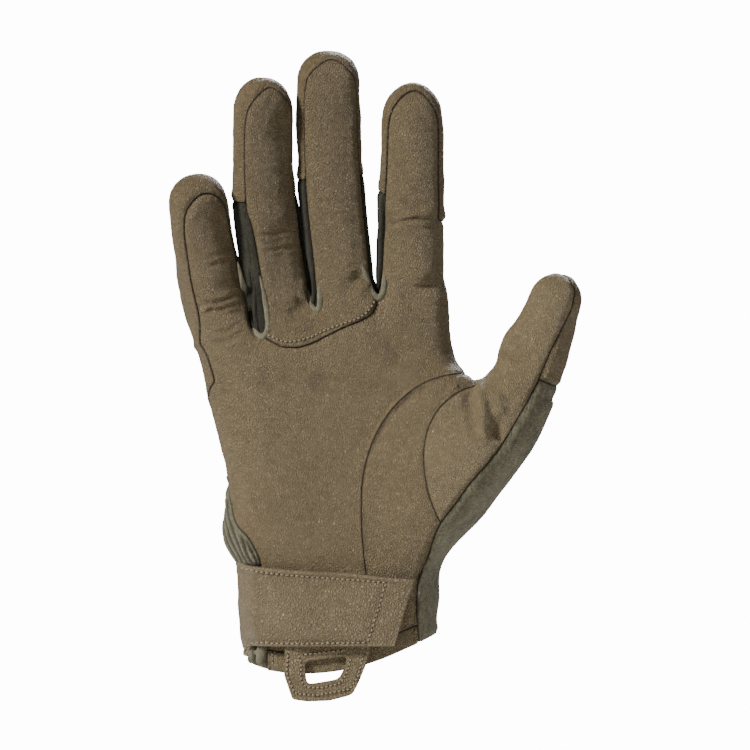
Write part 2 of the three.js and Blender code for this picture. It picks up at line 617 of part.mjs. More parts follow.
// Smooth normals of the whole sheet
function addNormals() {
  for (const v of sheet.vertices) v.normal = new THREE.Vector3();
  for (const { corners } of sheet.faces) {
    const [a, b, c] = corners.map((k) => sheet.vertices[k].point);
    const n = new THREE.Vector3().crossVectors(b.clone().sub(a), c.clone().sub(a));
    for (const k of corners) sheet.vertices[k].normal.add(n);
  }
  for (const v of sheet.vertices) v.normal.normalize();
}
addNormals();

// A patch of surface on its own: points, normals and triangles
function patchOf(label) {
  const index = new Map();
  const patch = { points: [], normals: [], ids: [], triangles: [] };
  for (const face of sheet.faces) {
    if (face.label !== label) continue;
    patch.triangles.push(face.corners.map((c) => {
      if (!index.has(c)) {
        index.set(c, patch.points.length);
        patch.points.push(sheet.vertices[c].point.clone());
        patch.normals.push(sheet.vertices[c].normal.clone());
        patch.ids.push(c);
      }
      return index.get(c);
    }));
  }
  return patch;
}

// The directed edges that only one triangle has
function rimOf(triangles) {
  const all = new Set();
  for (const [a, b, c] of triangles) {
    all.add(`${a}:${b}`);
    all.add(`${b}:${c}`);
    all.add(`${c}:${a}`);
  }
  const rim = [];
  for (const [a, b, c] of triangles) {
    for (const edge of [[a, b], [b, c], [c, a]]) {
      if (!all.has(`${edge[1]}:${edge[0]}`)) rim.push(edge);
    }
  }
  return rim;
}

// Draws the rim of a patch back by `distance`, along the surface
function trimRim(patch, distance) {
  const inward = new Map();
  for (const [a, b] of rimOf(patch.triangles)) {
    const along = patch.points[b].clone().sub(patch.points[a]).normalize();
    for (const k of [a, b]) {
      const step = new THREE.Vector3().crossVectors(patch.normals[k], along).normalize();
      if (!inward.has(k)) inward.set(k, []);
      inward.get(k).push(step);
    }
  }
  for (const [k, steps] of inward) {
    const mean = steps.reduce((sum, s) => sum.add(s), new THREE.Vector3()).multiplyScalar(1 / steps.length);
    const length = Math.max(mean.length(), SHARPEST_CORNER);
    patch.points[k].addScaledVector(mean.normalize(), distance / length);
  }
}

// Cuts every triangle of a patch into four
function refine(patch) {
  const middles = new Map();
  const middle = (a, b) => {
    const key = a < b ? `${a}:${b}` : `${b}:${a}`;
    if (!middles.has(key)) {
      middles.set(key, patch.points.length);
      patch.points.push(patch.points[a].clone().lerp(patch.points[b], 0.5));
      patch.normals.push(patch.normals[a].clone().add(patch.normals[b]).normalize());
      patch.ids.push((patch.ids[a] + patch.ids[b]) / 2);
    }
    return middles.get(key);
  };
  patch.triangles = patch.triangles.flatMap(([a, b, c]) => {
    const ab = middle(a, b);
    const bc = middle(b, c);
    const ca = middle(c, a);
    return [[a, ab, ca], [ab, b, bc], [ca, bc, c], [ab, bc, ca]];
  });
}

// A closed solid: the patch, a copy of it sunk by the thickness, and walls round the rim
function solidOf(patch, thickness) {
  const count = patch.points.length;
  const inner = patch.points.map((p, k) => p.clone().addScaledVector(patch.normals[k], -thickness));
  const places = [...patch.points, ...inner];
  const lining = patch.triangles.map(([a, b, c]) => [c + count, b + count, a + count]);
  const triangles = [...patch.triangles, ...lining];
  // Panels on the two sides of a seam split their walls along the same diagonal
  for (const [a, b] of rimOf(patch.triangles)) {
    if (patch.ids[b] < patch.ids[a]) triangles.push([b, a, a + count], [b, a + count, b + count]);
    else triangles.push([b, a, b + count], [a, a + count, b + count]);
  }
  const geometry = new THREE.BufferGeometry();
  const numbers = places.flatMap((p) => p.toArray());
  geometry.setAttribute('position', new THREE.Float32BufferAttribute(numbers, 3));
  geometry.setIndex(triangles.flat());
  geometry.computeVertexNormals();
  return geometry;
}

const leather = new THREE.MeshStandardMaterial({ color: 0x7a684c, roughness: 0.62, metalness: 0 });
const knit = new THREE.MeshStandardMaterial({ color: 0x6b6a55, roughness: 0.95, metalness: 0 });
const hook = new THREE.MeshStandardMaterial({ color: 0x5c4f3b, roughness: 0.9, metalness: 0 });

const glove = new THREE.Group();
function add(name, geometry, material) {
  const mesh = new THREE.Mesh(geometry, material);
  mesh.name = name;
  glove.add(mesh);
  return mesh;
}

// Panels of the hand
const LEATHER_PANELS = ['palm_panel', 'finger_panel', 'thumb_crescent', 'thumb_panel', 'hem_band',
  ...FINGERS.map((f) => `cap_${f.name}`)];
const KNIT_PANELS = ['back_panel', 'thumb_knit',
  'fourchette_little_ring', 'fourchette_ring_middle', 'fourchette_middle_index'];

for (const name of LEATHER_PANELS) {
  const patch = patchOf(name);
  trimRim(patch, SEAM_GAP / 2);
  add(name, solidOf(patch, LEATHER), leather);
}
for (const name of KNIT_PANELS) {
  const patch = patchOf(name);
  trimRim(patch, SEAM_GAP / 2);
  add(name, solidOf(patch, KNIT), knit);
}

// The gusset is gathered: pleats run slantwise down it, above and below the strap
const PLEAT_DIRECTION = new THREE.Vector3(0.5, -0.8, 0.35);
const PLEAT_FADE = 0.85 * PLEAT_PITCH;
function gatheredGusset() {
  const patch = patchOf('wrist_gusset');
  trimRim(patch, SEAM_GAP / 2);
  refine(patch);
  const rim = rimOf(patch.triangles).map(([a]) => patch.points[a].clone());
  patch.points.forEach((p, k) => {
    const toRim = Math.min(...rim.map((q) => q.distanceTo(p)));
    const ends = smooth(toRim / PLEAT_FADE);
    const aboveStrap = smooth((p.z - STRAP_BOTTOM - STRAP_WIDTH - STRAP_RISE) / PLEAT_FADE);
    const belowStrap = smooth((STRAP_BOTTOM - STRAP_DROP - PLEAT_HEIGHT - p.z) / (PLEAT_FADE / 2));
    const clear = Math.max(aboveStrap, belowStrap);
    const phase = (2 * Math.PI * p.dot(PLEAT_DIRECTION)) / PLEAT_PITCH;
    p.addScaledVector(patch.normals[k], PLEAT_HEIGHT * ends * clear * (0.5 + 0.5 * Math.cos(phase)));
  });
  return solidOf(patch, KNIT);
}
add('wrist_gusset', gatheredGusset(), knit);

// The ring of columns round the cuff: the front from the thumb, the little finger's side, then the back
const CUFF_COLUMNS = [];
for (let i = THUMB; i >= 0; i -= 1) {
  for (let slot = FRONT_END; slot > 0; slot -= 1) CUFF_COLUMNS.push([i, slot]);
}
CUFF_COLUMNS.push([0, 0], [0, BACK_END + 2], [0, BACK_END + 1]);
for (let i = 0; i < THUMB; i += 1) {
  for (let slot = BACK_END; slot > BACK_START; slot -= 1) CUFF_COLUMNS.push([i, slot]);
}
const SIDE_COLUMN = CUFF_COLUMNS.findIndex(([i, slot]) => i === 0 && slot === 0);
const CUFF_ROWS = 6;

// The place and normal on one column of the cuff at a height
function onColumn(column, z) {
  const [i, slot] = CUFF_COLUMNS[column];
  const ends = [];
  for (let r = 0; r < CUFF_ROWS; r += 1) ends.push(sheet.vertices[corner(i, r, slot)]);
  let r = 1;
  while (r < CUFF_ROWS - 1 && ends[r].point.z < z) r += 1;
  const a = ends[r - 1];
  const b = ends[r];
  const t = (z - a.point.z) / (b.point.z - a.point.z);
  return {
    point: a.point.clone().lerp(b.point, t),
    normal: a.normal.clone().lerp(b.normal, THREE.MathUtils.clamp(t, 0, 1)).normalize(),
  };
}

// The place and normal on the cuff's front at x and a height
function onFront(x, z) {
  let column = 1;
  while (column < SIDE_COLUMN && onColumn(column, z).point.x > x) column += 1;
  const a = onColumn(column - 1, z);
  const b = onColumn(column, z);
  const t = THREE.MathUtils.clamp((x - a.point.x) / (b.point.x - a.point.x), 0, 1);
  return { point: a.point.lerp(b.point, t), normal: a.normal.lerp(b.normal, t).normalize() };
}

// A band of stations by heights, as a patch that faces outwards
function bandPatch(stations, steps, place) {
  const patch = { points: [], normals: [], ids: [], triangles: [] };
  for (let s = 0; s < stations; s += 1) {
    for (let h = 0; h <= steps; h += 1) {
      const { point, normal } = place(s, h / steps);
      patch.points.push(point);
      patch.normals.push(normal);
      patch.ids.push(patch.ids.length);
    }
  }
  for (let s = 0; s < stations - 1; s += 1) {
    for (let h = 0; h < steps; h += 1) {
      const a = s * (steps + 1) + h;
      const b = a + steps + 1;
      patch.triangles.push([a, a + 1, b + 1], [a, b + 1, b]);
    }
  }
  return patch;
}

// The strap starts on the back, goes round the little finger's side and ends in a slanted tab on the palm side.
// It stands off the front by the closure patch and the pull loop that lie under it.
const FRONT_STANDOFF = STRAP_SLACK + Math.max(PATCH_THICKNESS, LOOP_THICKNESS) + 2 * FIT;
const BACK_STANDOFF = 2 * FIT;
const STRAP_BACK_COLUMNS = 11;
const STRAP_STEPS = 5;
const TURN_COLUMNS = 3;
const TAB_END = STRAP_END - STRAP_SLANT;

function strapSolid() {
  const columns = [];
  const middle = STRAP_BOTTOM + STRAP_WIDTH / 2;
  const lastFront = CUFF_COLUMNS.findIndex((_, c) => onColumn(c, middle).point.x < TAB_END - TAB_MARGIN);
  for (let c = lastFront; c < SIDE_COLUMN + 2 + STRAP_BACK_COLUMNS; c += 1) columns.push(c);
  const patch = bandPatch(columns.length + 1, STRAP_STEPS, (station, share) => {
    const c = columns[Math.max(0, station - 1)];
    const round = THREE.MathUtils.clamp((c - lastFront) / (SIDE_COLUMN - lastFront), 0, 1);
    const top = STRAP_BOTTOM + STRAP_WIDTH + STRAP_RISE * round;
    const turn = smooth((c - SIDE_COLUMN + TURN_COLUMNS) / TURN_COLUMNS);
    const z = mix(STRAP_BOTTOM - STRAP_DROP * turn, top, share);
    const place = station === 0 ? onFront(TAB_END + STRAP_SLANT * share, z) : onColumn(c, z);
    const away = mix(FRONT_STANDOFF, BACK_STANDOFF, turn);
    place.point.addScaledVector(place.normal, away + STRAP_THICKNESS);
    return place;
  });
  return solidOf(patch, STRAP_THICKNESS);
}
add('wrist_strap', strapSolid(), leather);

// The closure patch between the strap's tab and the palm
const PATCH_STATIONS = 6;
function closureSolid() {
  const right = TAB_END - TAB_MARGIN;
  const foot = STRAP_BOTTOM + STRAP_WIDTH - PATCH_HEIGHT - PATCH_MARGIN;
  const patch = bandPatch(PATCH_STATIONS + 1, 2, (station, share) => {
    const x = right - (PATCH_WIDTH * station) / PATCH_STATIONS;
    const place = onFront(x, foot + PATCH_HEIGHT * share);
    place.point.addScaledVector(place.normal, PATCH_STANDOFF + PATCH_THICKNESS);
    return place;
  });
  return solidOf(patch, PATCH_THICKNESS);
}
add('closure_patch', closureSolid(), hook);

// The pull loop: a flat stitched tab with a slot, tucked up under the strap and hanging below the hem
function loopSolid() {
  const trace = (path, table) => {
    table.forEach((row, k) => {
      const x = row.x * LOOP_WIDTH;
      const z = STRAP_BOTTOM - row.down * LOOP_DROP;
      if (k === 0) path.moveTo(x, z);
      else path.lineTo(x, z);
    });
    path.closePath();
  };
  const outline = new THREE.Shape();
  const slot = new THREE.Path();
  trace(outline, LOOP_EDGE);
  trace(slot, SLOT_EDGE);
  outline.holes.push(slot);
  const geometry = new THREE.ExtrudeGeometry(outline, { depth: LOOP_THICKNESS, bevelEnabled: false });
  // The outline's height becomes Z, and the extrusion runs from the cuff's side outwards
  geometry.rotateX(Math.PI / 2);
  return geometry;
}
const loop = add('pull_loop', loopSolid(), leather);
loop.position.set(LOOP_CENTRE, onFront(LOOP_CENTRE, STRAP_BOTTOM).point.y - FIT, 0);

export default glove;
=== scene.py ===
import math

import bpy
import numpy as np
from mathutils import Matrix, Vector
from mathutils.bvhtree import BVHTree
from mathutils.kdtree import KDTree


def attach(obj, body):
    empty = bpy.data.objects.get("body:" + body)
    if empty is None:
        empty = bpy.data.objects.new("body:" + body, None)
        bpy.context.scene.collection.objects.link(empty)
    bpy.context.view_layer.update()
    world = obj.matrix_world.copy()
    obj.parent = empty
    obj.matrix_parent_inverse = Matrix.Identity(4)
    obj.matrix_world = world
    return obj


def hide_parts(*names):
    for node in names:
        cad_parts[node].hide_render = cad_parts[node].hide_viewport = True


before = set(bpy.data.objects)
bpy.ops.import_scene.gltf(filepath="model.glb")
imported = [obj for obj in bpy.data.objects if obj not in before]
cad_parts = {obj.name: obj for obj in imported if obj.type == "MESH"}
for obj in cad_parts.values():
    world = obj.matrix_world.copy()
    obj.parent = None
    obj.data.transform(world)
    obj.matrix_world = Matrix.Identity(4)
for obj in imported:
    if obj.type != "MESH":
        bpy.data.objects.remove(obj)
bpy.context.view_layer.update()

# A right-hand glove. Lengths are in millimetres until a mesh is made. +X points to the thumb, -Y out of the
# palm and +Z to the fingertips. PX is the size of one pixel of the photograph, for places on the palm side.
PX = 0.39
MM = 0.001
ORIGIN_PX, ORIGIN_PY = 340, 655


def spot(px, py):
    """X and Z of a place on the palm side, from its pixel in the photograph."""
    return (px - ORIGIN_PX) * PX, (ORIGIN_PY - py) * PX


# Main sizes
PALM_LENGTH = 142
LITTLE_SIDE = 58.3
INDEX_SIDE = 41.8
THUMB_SIDE = 84
WEB_SIDE = 53
CUFF_WIDTH = 77.4
CUFF_DEPTH = 43
KNUCKLE_DEPTH = 25.5
THUMB_FORWARD = 10
HEM_SAG = 4.4
MOUND_HEIGHT = 6
WEB_RISE = 2.2
PAD_ARCH = 14
STRAP_THICKNESS = 2.4
STRAP_BOTTOM = 3.5
STRAP_WIDTH = 27.2
LOOP_THICKNESS = 1.8
LOOP_WIDTH = 33.5
LOOP_DROP = 21
LOOP_CENTRE = -5
SQUARENESS = 3.0
FINGER_SQUARENESS = 2.3

# Fingers in millimetres and degrees
NAMES = ("little", "ring", "middle", "index", "thumb")
FINGER_COLUMNS = ("length", "lean", "shift", "bow", "roll", "curl", "width", "depth", "dome_width", "dome",
                  "cap", "cap_slant", "inset")
FINGER_ROWS = (
    (65.2, -10.2, -1.4, -2.3, 22, 15, 25.2, 21, 22.6, 12, 36, 0, 4.8),
    (94.9, -4.4, -0.5, -4.5, 22, 15, 25.0, 21, 23.0, 14, 46, 0, 2.4),
    (97.7, -3.5, -0.2, -2.8, 8, 10, 25.4, 22, 24.4, 13, 49, 0, 3.2),
    (81.7, 1.3, 0.2, 0.1, 3, 8, 26.4, 22, 23.6, 16, 48, 6, 2.6),
    (49.4, 22.6, 2.2, 0.8, -24, 7, 29.0, 23, 20.6, 13, 40, 0, 0),
)
FINGERS = [dict(zip(FINGER_COLUMNS, row)) for row in FINGER_ROWS]
THUMB = 4

# Rows of the palm from the hem up, as shares: left, fork, right, their heights, sag, thinness and forward.
# Above the thumb's row there is no right side.
PALM_ROWS = (
    (-0.19, 0, -0.03, -0.03, 0, 0.054, 1, 0, 0),
    (-0.16, 0.03, -0.03, 0.027, 0.058, 0.106, 1, 0, 0),
    (-0.14, 0.06, -0.02, 0.09, 0.105, 0.148, 0.5, 0, 0),
    (-0.11, 0.1, -0.02, 0.162, 0.168, 0.194, 0.2, 0.02, 0),
    (-0.04, 0.18, 0.01, 0.24, 0.242, 0.248, 0, 0.08, 0.1),
    (0.27, 0.3, 0.15, 0.318, 0.324, 0.31, 0, 0.18, 0.35),
    (0.2, 0.45, 0.34, 0.402, 0.408, 0.377, 0, 0.28, 0.55),
    (0.22, 0.6, 0.54, 0.494, 0.493, 0.458, 0, 0.38, 0.75),
    (0.41, 0.76, 0.735, 0.586, 0.577, 0.542, 0, 0.48, 0.9),
    (0.57, 0.89, 0.89, 0.67, 0.669, 0.62, 0, 0.58, 1),
    (0.7, 1, 1, 0.74, 0.743, 0.694, 0, 0.68, 1),
    (0.81, 1.055, None, 0.79, 0.803, None, 0, 0.8, 0),
    (0.9, 0.998, None, 0.825, 0.9, None, 0, 0.9, 0),
    (0.98, 1, None, 0.845, 1, None, 0, 1, 0),
)
THUMB_ROW = 10
KNUCKLE_ROW = 13
FEET = ((0, 0.845), (0.262, 0.879), (0.476, 0.953), (0.728, 0.997), (1, 1))
SHAFT_ROWS = ((0.07, 1, 1.13), (0.18, 1, 1.07), (0.3, 1.01, 1), (0.42, 1.02, 1), (0.52, 1.03, 1.03),
              (0.62, 1.01, 0.98), (0.75, 1, 0.96), (0.88, 1, 0.95), (1, 1, 0.94))
DOME_ROWS = (0.34, 0.62, 0.83, 0.955)
SLOTS = (-52, -31.2, -10.4, 10.4, 31.2, 52, 77.3, 102.7, 128, 148.8, 169.6, 190.4, 211.2, 232, 257.3, 282.7)
FRONT_END, BACK_START, BACK_END = 5, 8, 13
PAD_ANGLE = 52
MOUNDS = (
    (0.82, 0.54, 0.42, 0.22, 22, 1),
    (-0.5, 0.36, 0.3, 0.2, -8, 0.417),
    (0.02, 0.6, 0.42, 0.2, 20, -0.583),
    (-0.2, 0.82, 0.8, 0.07, 12, 0.267),
    (1.0, 0.68, 0.06, 0.1, 4, 0.3),
    (1.12, 0.66, 0.07, 0.09, 4, -0.3),
    (0.3, 0.86, 0.1, 0.05, -30, -0.233),
)
OUTER_ARC = (0.56, 0.424, 0.461, 0.348, 0.634)
INNER_ARC = (0.667, 0.553, 0.281, 0.187, 0.268)
KNIT_EDGE = ((-0.1, 0.37), (0.04, 0.367), (0.13, 0.353), (0.21, 0.36), (0.27, 0.407), (0.33, 0.436),
             (0.37, 0.469), (0.42, 0.536), (0.48, 0.607), (0.54, 0.7), (0.59, 0.762), (0.65, 0.819),
             (0.7, 0.871), (0.76, 0.921), (0.83, 0.97), (0.89, 1.02), (0.95, 1.07), (1.0, 1.087),
             (1.03, 1.062), (1.06, 1.02))
GUSSET_EDGE = ((-0.1, -0.333), (0.14, -0.345), (0.26, -0.369), (0.29, -0.388), (0.327, -0.425),
               (0.35, -0.471), (0.37, -0.49), (0.42, -0.508), (0.5, -0.55), (0.9, -0.9))
GUSSET_TOP = 0.5
GUSSET_WRAP = 92
SCALLOP = ((1.2, -0.62), (0.879, -0.549), (0.872, -0.5), (0.858, -0.45), (0.845, -0.38), (0.844, -0.28),
           (0.856, -0.18), (0.876, -0.09), (0.899, 0.02), (0.918, 0.14), (0.935, 0.218), (0.965, 0.25),
           (1.3, 0.27))
SIDE_STRIP_FOOT = 0.69
SIDE_STRIP_SLANT = 0.007
INDEX_WRAP = 99
LOOP_EDGE = ((-0.49, -0.16), (-0.49, 0.2), (-0.5, 0.48), (-0.455, 0.7), (-0.4, 0.955), (-0.235, 0.995),
             (0.035, 0.98), (0.295, 0.87), (0.37, 0.64), (0.45, 0.33), (0.5, 0.04), (0.5, -0.16))
SLOT_EDGE = ((-0.25, 0.26), (0.235, 0.16), (0.19, 0.42), (0.13, 0.58), (-0.18, 0.665), (-0.225, 0.65),
             (-0.24, 0.6))
CROTCH_DENT = 0.32
EDGE_INSET = 0.27
SIDE_DEPTH = 0.25


def mix(a, b, t):
    return a + (b - a) * t


def smooth(t):
    t = np.clip(t, 0, 1)
    return t * t * (3 - 2 * t)


def rad(angle):
    return math.radians(angle)


def unit(v):
    return v / np.maximum(np.linalg.norm(v, axis=-1, keepdims=True), 1e-9)


def mound_height(x, z):
    height = 0
    for mx, mz, wide, tall, lean, share in MOUNDS:
        dx = x - mx * LITTLE_SIDE
        dz = z - mz * PALM_LENGTH
        across = (dx * math.cos(rad(lean)) - dz * math.sin(rad(lean))) / (wide * LITTLE_SIDE)
        along = (dx * math.sin(rad(lean)) + dz * math.cos(rad(lean))) / (tall * PALM_LENGTH)
        height += share * MOUND_HEIGHT * math.exp(-across * across - along * along)
    return height


def palm_row(r):
    left, fork, right, left_up, fork_up, right_up, sag, thin, forward = PALM_ROWS[r]
    half = CUFF_WIDTH / 2
    thumb = r <= THUMB_ROW
    fork_x = mix(half / 2, WEB_SIDE, fork) if thumb else fork * INDEX_SIDE
    return {
        "left": -mix(half, LITTLE_SIDE, left),
        "fork": fork_x,
        "right": mix(half, THUMB_SIDE, right) if thumb else fork_x,
        "thumb": thumb,
        "forward": forward * THUMB_FORWARD,
        "left_up": left_up * PALM_LENGTH,
        "fork_up": fork_up * PALM_LENGTH,
        "right_up": (right_up if thumb else fork_up) * PALM_LENGTH,
        "depth": mix(CUFF_DEPTH, KNUCKLE_DEPTH, thin) / 2,
        "sag": sag * HEM_SAG,
        "edges": [mix(j / THUMB, foot[0], r / KNUCKLE_ROW) for j, foot in enumerate(FEET)],
    }


ROWS = [palm_row(r) for r in range(len(PALM_ROWS))]


def fork_row(i):
    return THUMB_ROW if i == THUMB - 1 else KNUCKLE_ROW


def last_palm_row(i):
    return THUMB_ROW if i == THUMB else KNUCKLE_ROW


def crotch_dent(i, r, k):
    left = i > 0 and k <= 1
    right = i < THUMB and k >= FRONT_END - 1
    if not left and not right:
        return 1
    below = fork_row(i - 1 if left else i) - r
    dent = CROTCH_DENT if k in (0, FRONT_END) else CROTCH_DENT / 4
    if below == 0:
        return 1 - dent
    return 1 - dent / 4 if below == 1 else 1


def palm_point(i, r, slot):
    row = ROWS[r]
    front = slot <= FRONT_END
    back = BACK_START <= slot <= BACK_END
    half = (row["right"] - row["left"]) / 2
    inset = EDGE_INSET * row["depth"]
    free_right = i == THUMB or (i == THUMB - 1 and not row["thumb"])
    start = row["fork"] if i == THUMB else mix(row["left"], row["fork"], row["edges"][i])
    end = row["right"] if i == THUMB else mix(row["left"], row["fork"], row["edges"][i + 1])
    k = 0
    if front or back:
        k = slot if front else BACK_END - slot
        x = mix(start + inset if i == 0 else start, end - inset if free_right else end, k / FRONT_END)
    else:
        x = end if FRONT_END < slot < BACK_START else start
    if i == THUMB:
        z = mix(row["fork_up"], row["right_up"], (x - row["fork"]) / (row["right"] - row["fork"]))
    else:
        share = (x - row["left"]) / (row["fork"] - row["left"])
        straight = mix(row["left_up"], row["fork_up"], share)
        feet = np.interp(share, [f[0] for f in FEET], [f[1] for f in FEET]) * PALM_LENGTH
        bend = min(max((r - THUMB_ROW) / (KNUCKLE_ROW - THUMB_ROW), 0), 1)
        z = mix(straight, feet, bend * bend) - row["sag"] * 4 * share * (1 - share)
    u = min(abs((x - row["left"] - half) / half), 1)
    round_off = (1 - u ** SQUARENESS) ** (1 / SQUARENESS)
    forward_from = row["fork"] * 0.35
    centre = -row["forward"] * smooth((x - forward_from) / (row["right"] - forward_from))
    dent = crotch_dent(i, r, k) if front or back else 1
    if front:
        y = centre - (row["depth"] * round_off + mound_height(x, z) * min(1, round_off * 1.4)) * dent
    elif back:
        y = centre + row["depth"] * round_off * dent
    else:
        near_front = slot in (FRONT_END + 1, len(SLOTS) - 1)
        at_fork = (i > 0 and slot > BACK_END) or (slot < BACK_START and not free_right)
        y = centre + (-1 if near_front else 1) * row["depth"] * SIDE_DEPTH
        if at_fork and r == KNUCKLE_ROW:
            z += WEB_RISE * (0.6 if near_front else 1)
    return np.array((x, y, z), float)


def spine(i, t):
    f = FINGERS[i]
    lean = rad(f["lean"])
    row = ROWS[last_palm_row(i)]
    foot = (palm_point(i, last_palm_row(i), 0) + palm_point(i, last_palm_row(i), FRONT_END)) / 2
    if i == THUMB:
        foot[2] = (row["fork_up"] + row["right_up"]) / 2
    foot[1] = -row["forward"] * 0.9 if i == THUMB else 0.3
    sideways = f["bow"] * 4 * t * (1 - t)
    rise = f["length"] * t
    return foot + np.array((
        f["shift"] + math.sin(lean) * rise + math.cos(lean) * sideways,
        -f["curl"] * max(t, 0) ** 1.7,
        math.cos(lean) * rise - math.sin(lean) * sideways,
    ))


def finger_rings(i):
    f = FINGERS[i]
    shaft = 1 - f["dome"] / f["length"]
    rings = []
    for along, wide, deep in SHAFT_ROWS:
        across = mix(f["width"], f["dome_width"], along) * wide / 2
        rings.append((along * shaft, across, f["depth"] * deep / 2))
    _, wide, deep = rings[-1]
    for rise in DOME_ROWS:
        share = (1 - rise ** 2.2) ** (1 / 2.2)
        rings.append((shaft + (1 - shaft) * rise, wide * share, deep * share))
    return rings


def ring_point(i, ring, angle):
    t, ring_wide, ring_deep = ring
    along = unit(spine(i, t + 0.01) - spine(i, t - 0.01))
    back = unit(np.array((0, 1, 0)) - along * along[1])
    side = np.cross(back, along)
    spin = rad(FINGERS[i]["roll"]) * float(smooth(t / 0.22))
    local = rad(angle)
    n = FINGER_SQUARENESS
    grow = (abs(math.sin(local)) ** n + abs(math.cos(local)) ** n) ** (-1 / n)
    wide = ring_wide * math.sin(local) * grow
    deep = ring_deep * math.cos(local) * grow
    across = wide * math.cos(spin) + deep * math.sin(spin)
    outwards = wide * math.sin(spin) - deep * math.cos(spin)
    return spine(i, t) + side * across + back * outwards


class Cage:
    """The coarse sheet of the hand: points, what each knows of its place, and faces with their zones."""

    def __init__(self):
        self.known, self.points, self.facts, self.faces, self.zones, self.names = {}, [], [], [], [], []
        for i in range(THUMB + 1):
            self.add_ray(i)

    def corner(self, i, r, slot):
        if i < THUMB and r <= fork_row(i) and FRONT_END <= slot <= BACK_START:
            i, slot = i + 1, (0, 15, 14, 13)[slot - FRONT_END]
        key = (i, r, slot)
        if key not in self.known:
            self.known[key] = len(self.points)
            f = FINGERS[i]
            angle = SLOTS[slot] - 360 if SLOTS[slot] > 180 else SLOTS[slot]
            if r <= last_palm_row(i):
                self.points.append(palm_point(i, r, slot))
                tip = f["length"] + 8 * (last_palm_row(i) - r + 0.2)
            else:
                ring = finger_rings(i)[r - last_palm_row(i) - 1]
                self.points.append(ring_point(i, ring, SLOTS[slot]))
                tip = (1 - ring[0]) * f["length"]
            self.facts.append((angle, math.sin(rad(SLOTS[slot])), tip))
        return self.known[key]

    def zone(self, i, r, slot):
        part = ("front", "right", "back", "left")[sum(slot >= e for e in (FRONT_END, BACK_START, BACK_END))]
        if r >= last_palm_row(i):
            name = f"{NAMES[i]} {part}"
        else:
            name = "hem" if r == 0 and part == "front" else f"palm {part} {i}"
        if name not in self.names:
            self.names.append(name)
        return self.names.index(name)

    def add_ray(self, i):
        top = last_palm_row(i) + len(finger_rings(i))
        for r in range(top + 1):
            if r == top:
                pole = len(self.points)
                self.points.append(spine(i, 1))
                self.facts.append((0, 0, 0))
            for slot in range(len(SLOTS)):
                following = (slot + 1) % len(SLOTS)
                hidden_right = FRONT_END <= slot < BACK_START and i < THUMB and r < fork_row(i)
                hidden_left = slot >= BACK_END and i > 0 and r < fork_row(i - 1)
                if hidden_right or hidden_left:
                    continue
                face = [self.corner(i, r, slot), self.corner(i, r, following)]
                if r == top:
                    face.append(pole)
                else:
                    face += [self.corner(i, r + 1, following), self.corner(i, r + 1, slot)]
                self.faces.append(face)
                self.zones.append(self.zone(i, r, slot))


def read(mesh, domain, name, kind="value", width=1):
    values = np.zeros(len(domain) * width, np.float32)
    mesh.attributes[name].data.foreach_get(kind, values)
    return values


def subdivided(points, faces, facts, zones, level):
    """The smooth surface that goes through the cage's points, as points, facts, faces' corners and zones."""
    goal = np.array(points)
    guess = goal.copy()
    mesh = bpy.data.meshes.new("cage")
    mesh.from_pydata([tuple(p) for p in guess], [], faces)
    for k in range(len(facts[0])):
        mesh.attributes.new(f"fact{k}", "FLOAT", "POINT").data.foreach_set("value", [f[k] for f in facts])
    mesh.polygons.foreach_set("material_index", zones)
    made = bpy.data.objects.new("cage", mesh)
    bpy.context.scene.collection.objects.link(made)
    divide = made.modifiers.new("divide", "SUBSURF")
    divide.levels = level
    divide.uv_smooth = "NONE"
    for attempt in range(4):
        mesh.vertices.foreach_set("co", guess.ravel())
        mesh.update()
        bpy.context.view_layer.update()
        done = made.evaluated_get(bpy.context.evaluated_depsgraph_get())
        fine = done.to_mesh()
        co = np.zeros(len(fine.vertices) * 3)
        fine.vertices.foreach_get("co", co)
        co = co.reshape(-1, 3)
        if attempt < 3:
            guess += 0.85 * (goal - co[: len(goal)])
    fine_facts = np.stack([read(fine, fine.vertices, f"fact{k}") for k in range(len(facts[0]))], 1)
    corners = np.zeros(len(fine.polygons) * 4, int)
    fine.polygons.foreach_get("vertices", corners)
    labels = np.zeros(len(fine.polygons), int)
    fine.polygons.foreach_get("material_index", labels)
    done.to_mesh_clear()
    bpy.data.objects.remove(made)
    return co, fine_facts.astype(float), corners.reshape(-1, 4), labels


def normals_of(points, triangles):
    a, b, c = (points[triangles[:, k]] for k in range(3))
    face = np.cross(b - a, c - a)
    total = np.zeros_like(points)
    for k in range(3):
        np.add.at(total, triangles[:, k], face)
    return unit(total)


BIG = 1 << 24


def edges_of(triangles):
    ends = np.concatenate([triangles[:, [0, 1]], triangles[:, [1, 2]], triangles[:, [2, 0]]])
    ends = np.sort(ends, 1)
    keys, inverse = np.unique(ends[:, 0] * BIG + ends[:, 1], return_inverse=True)
    return np.stack([keys // BIG, keys % BIG], 1), inverse.reshape(3, -1).T


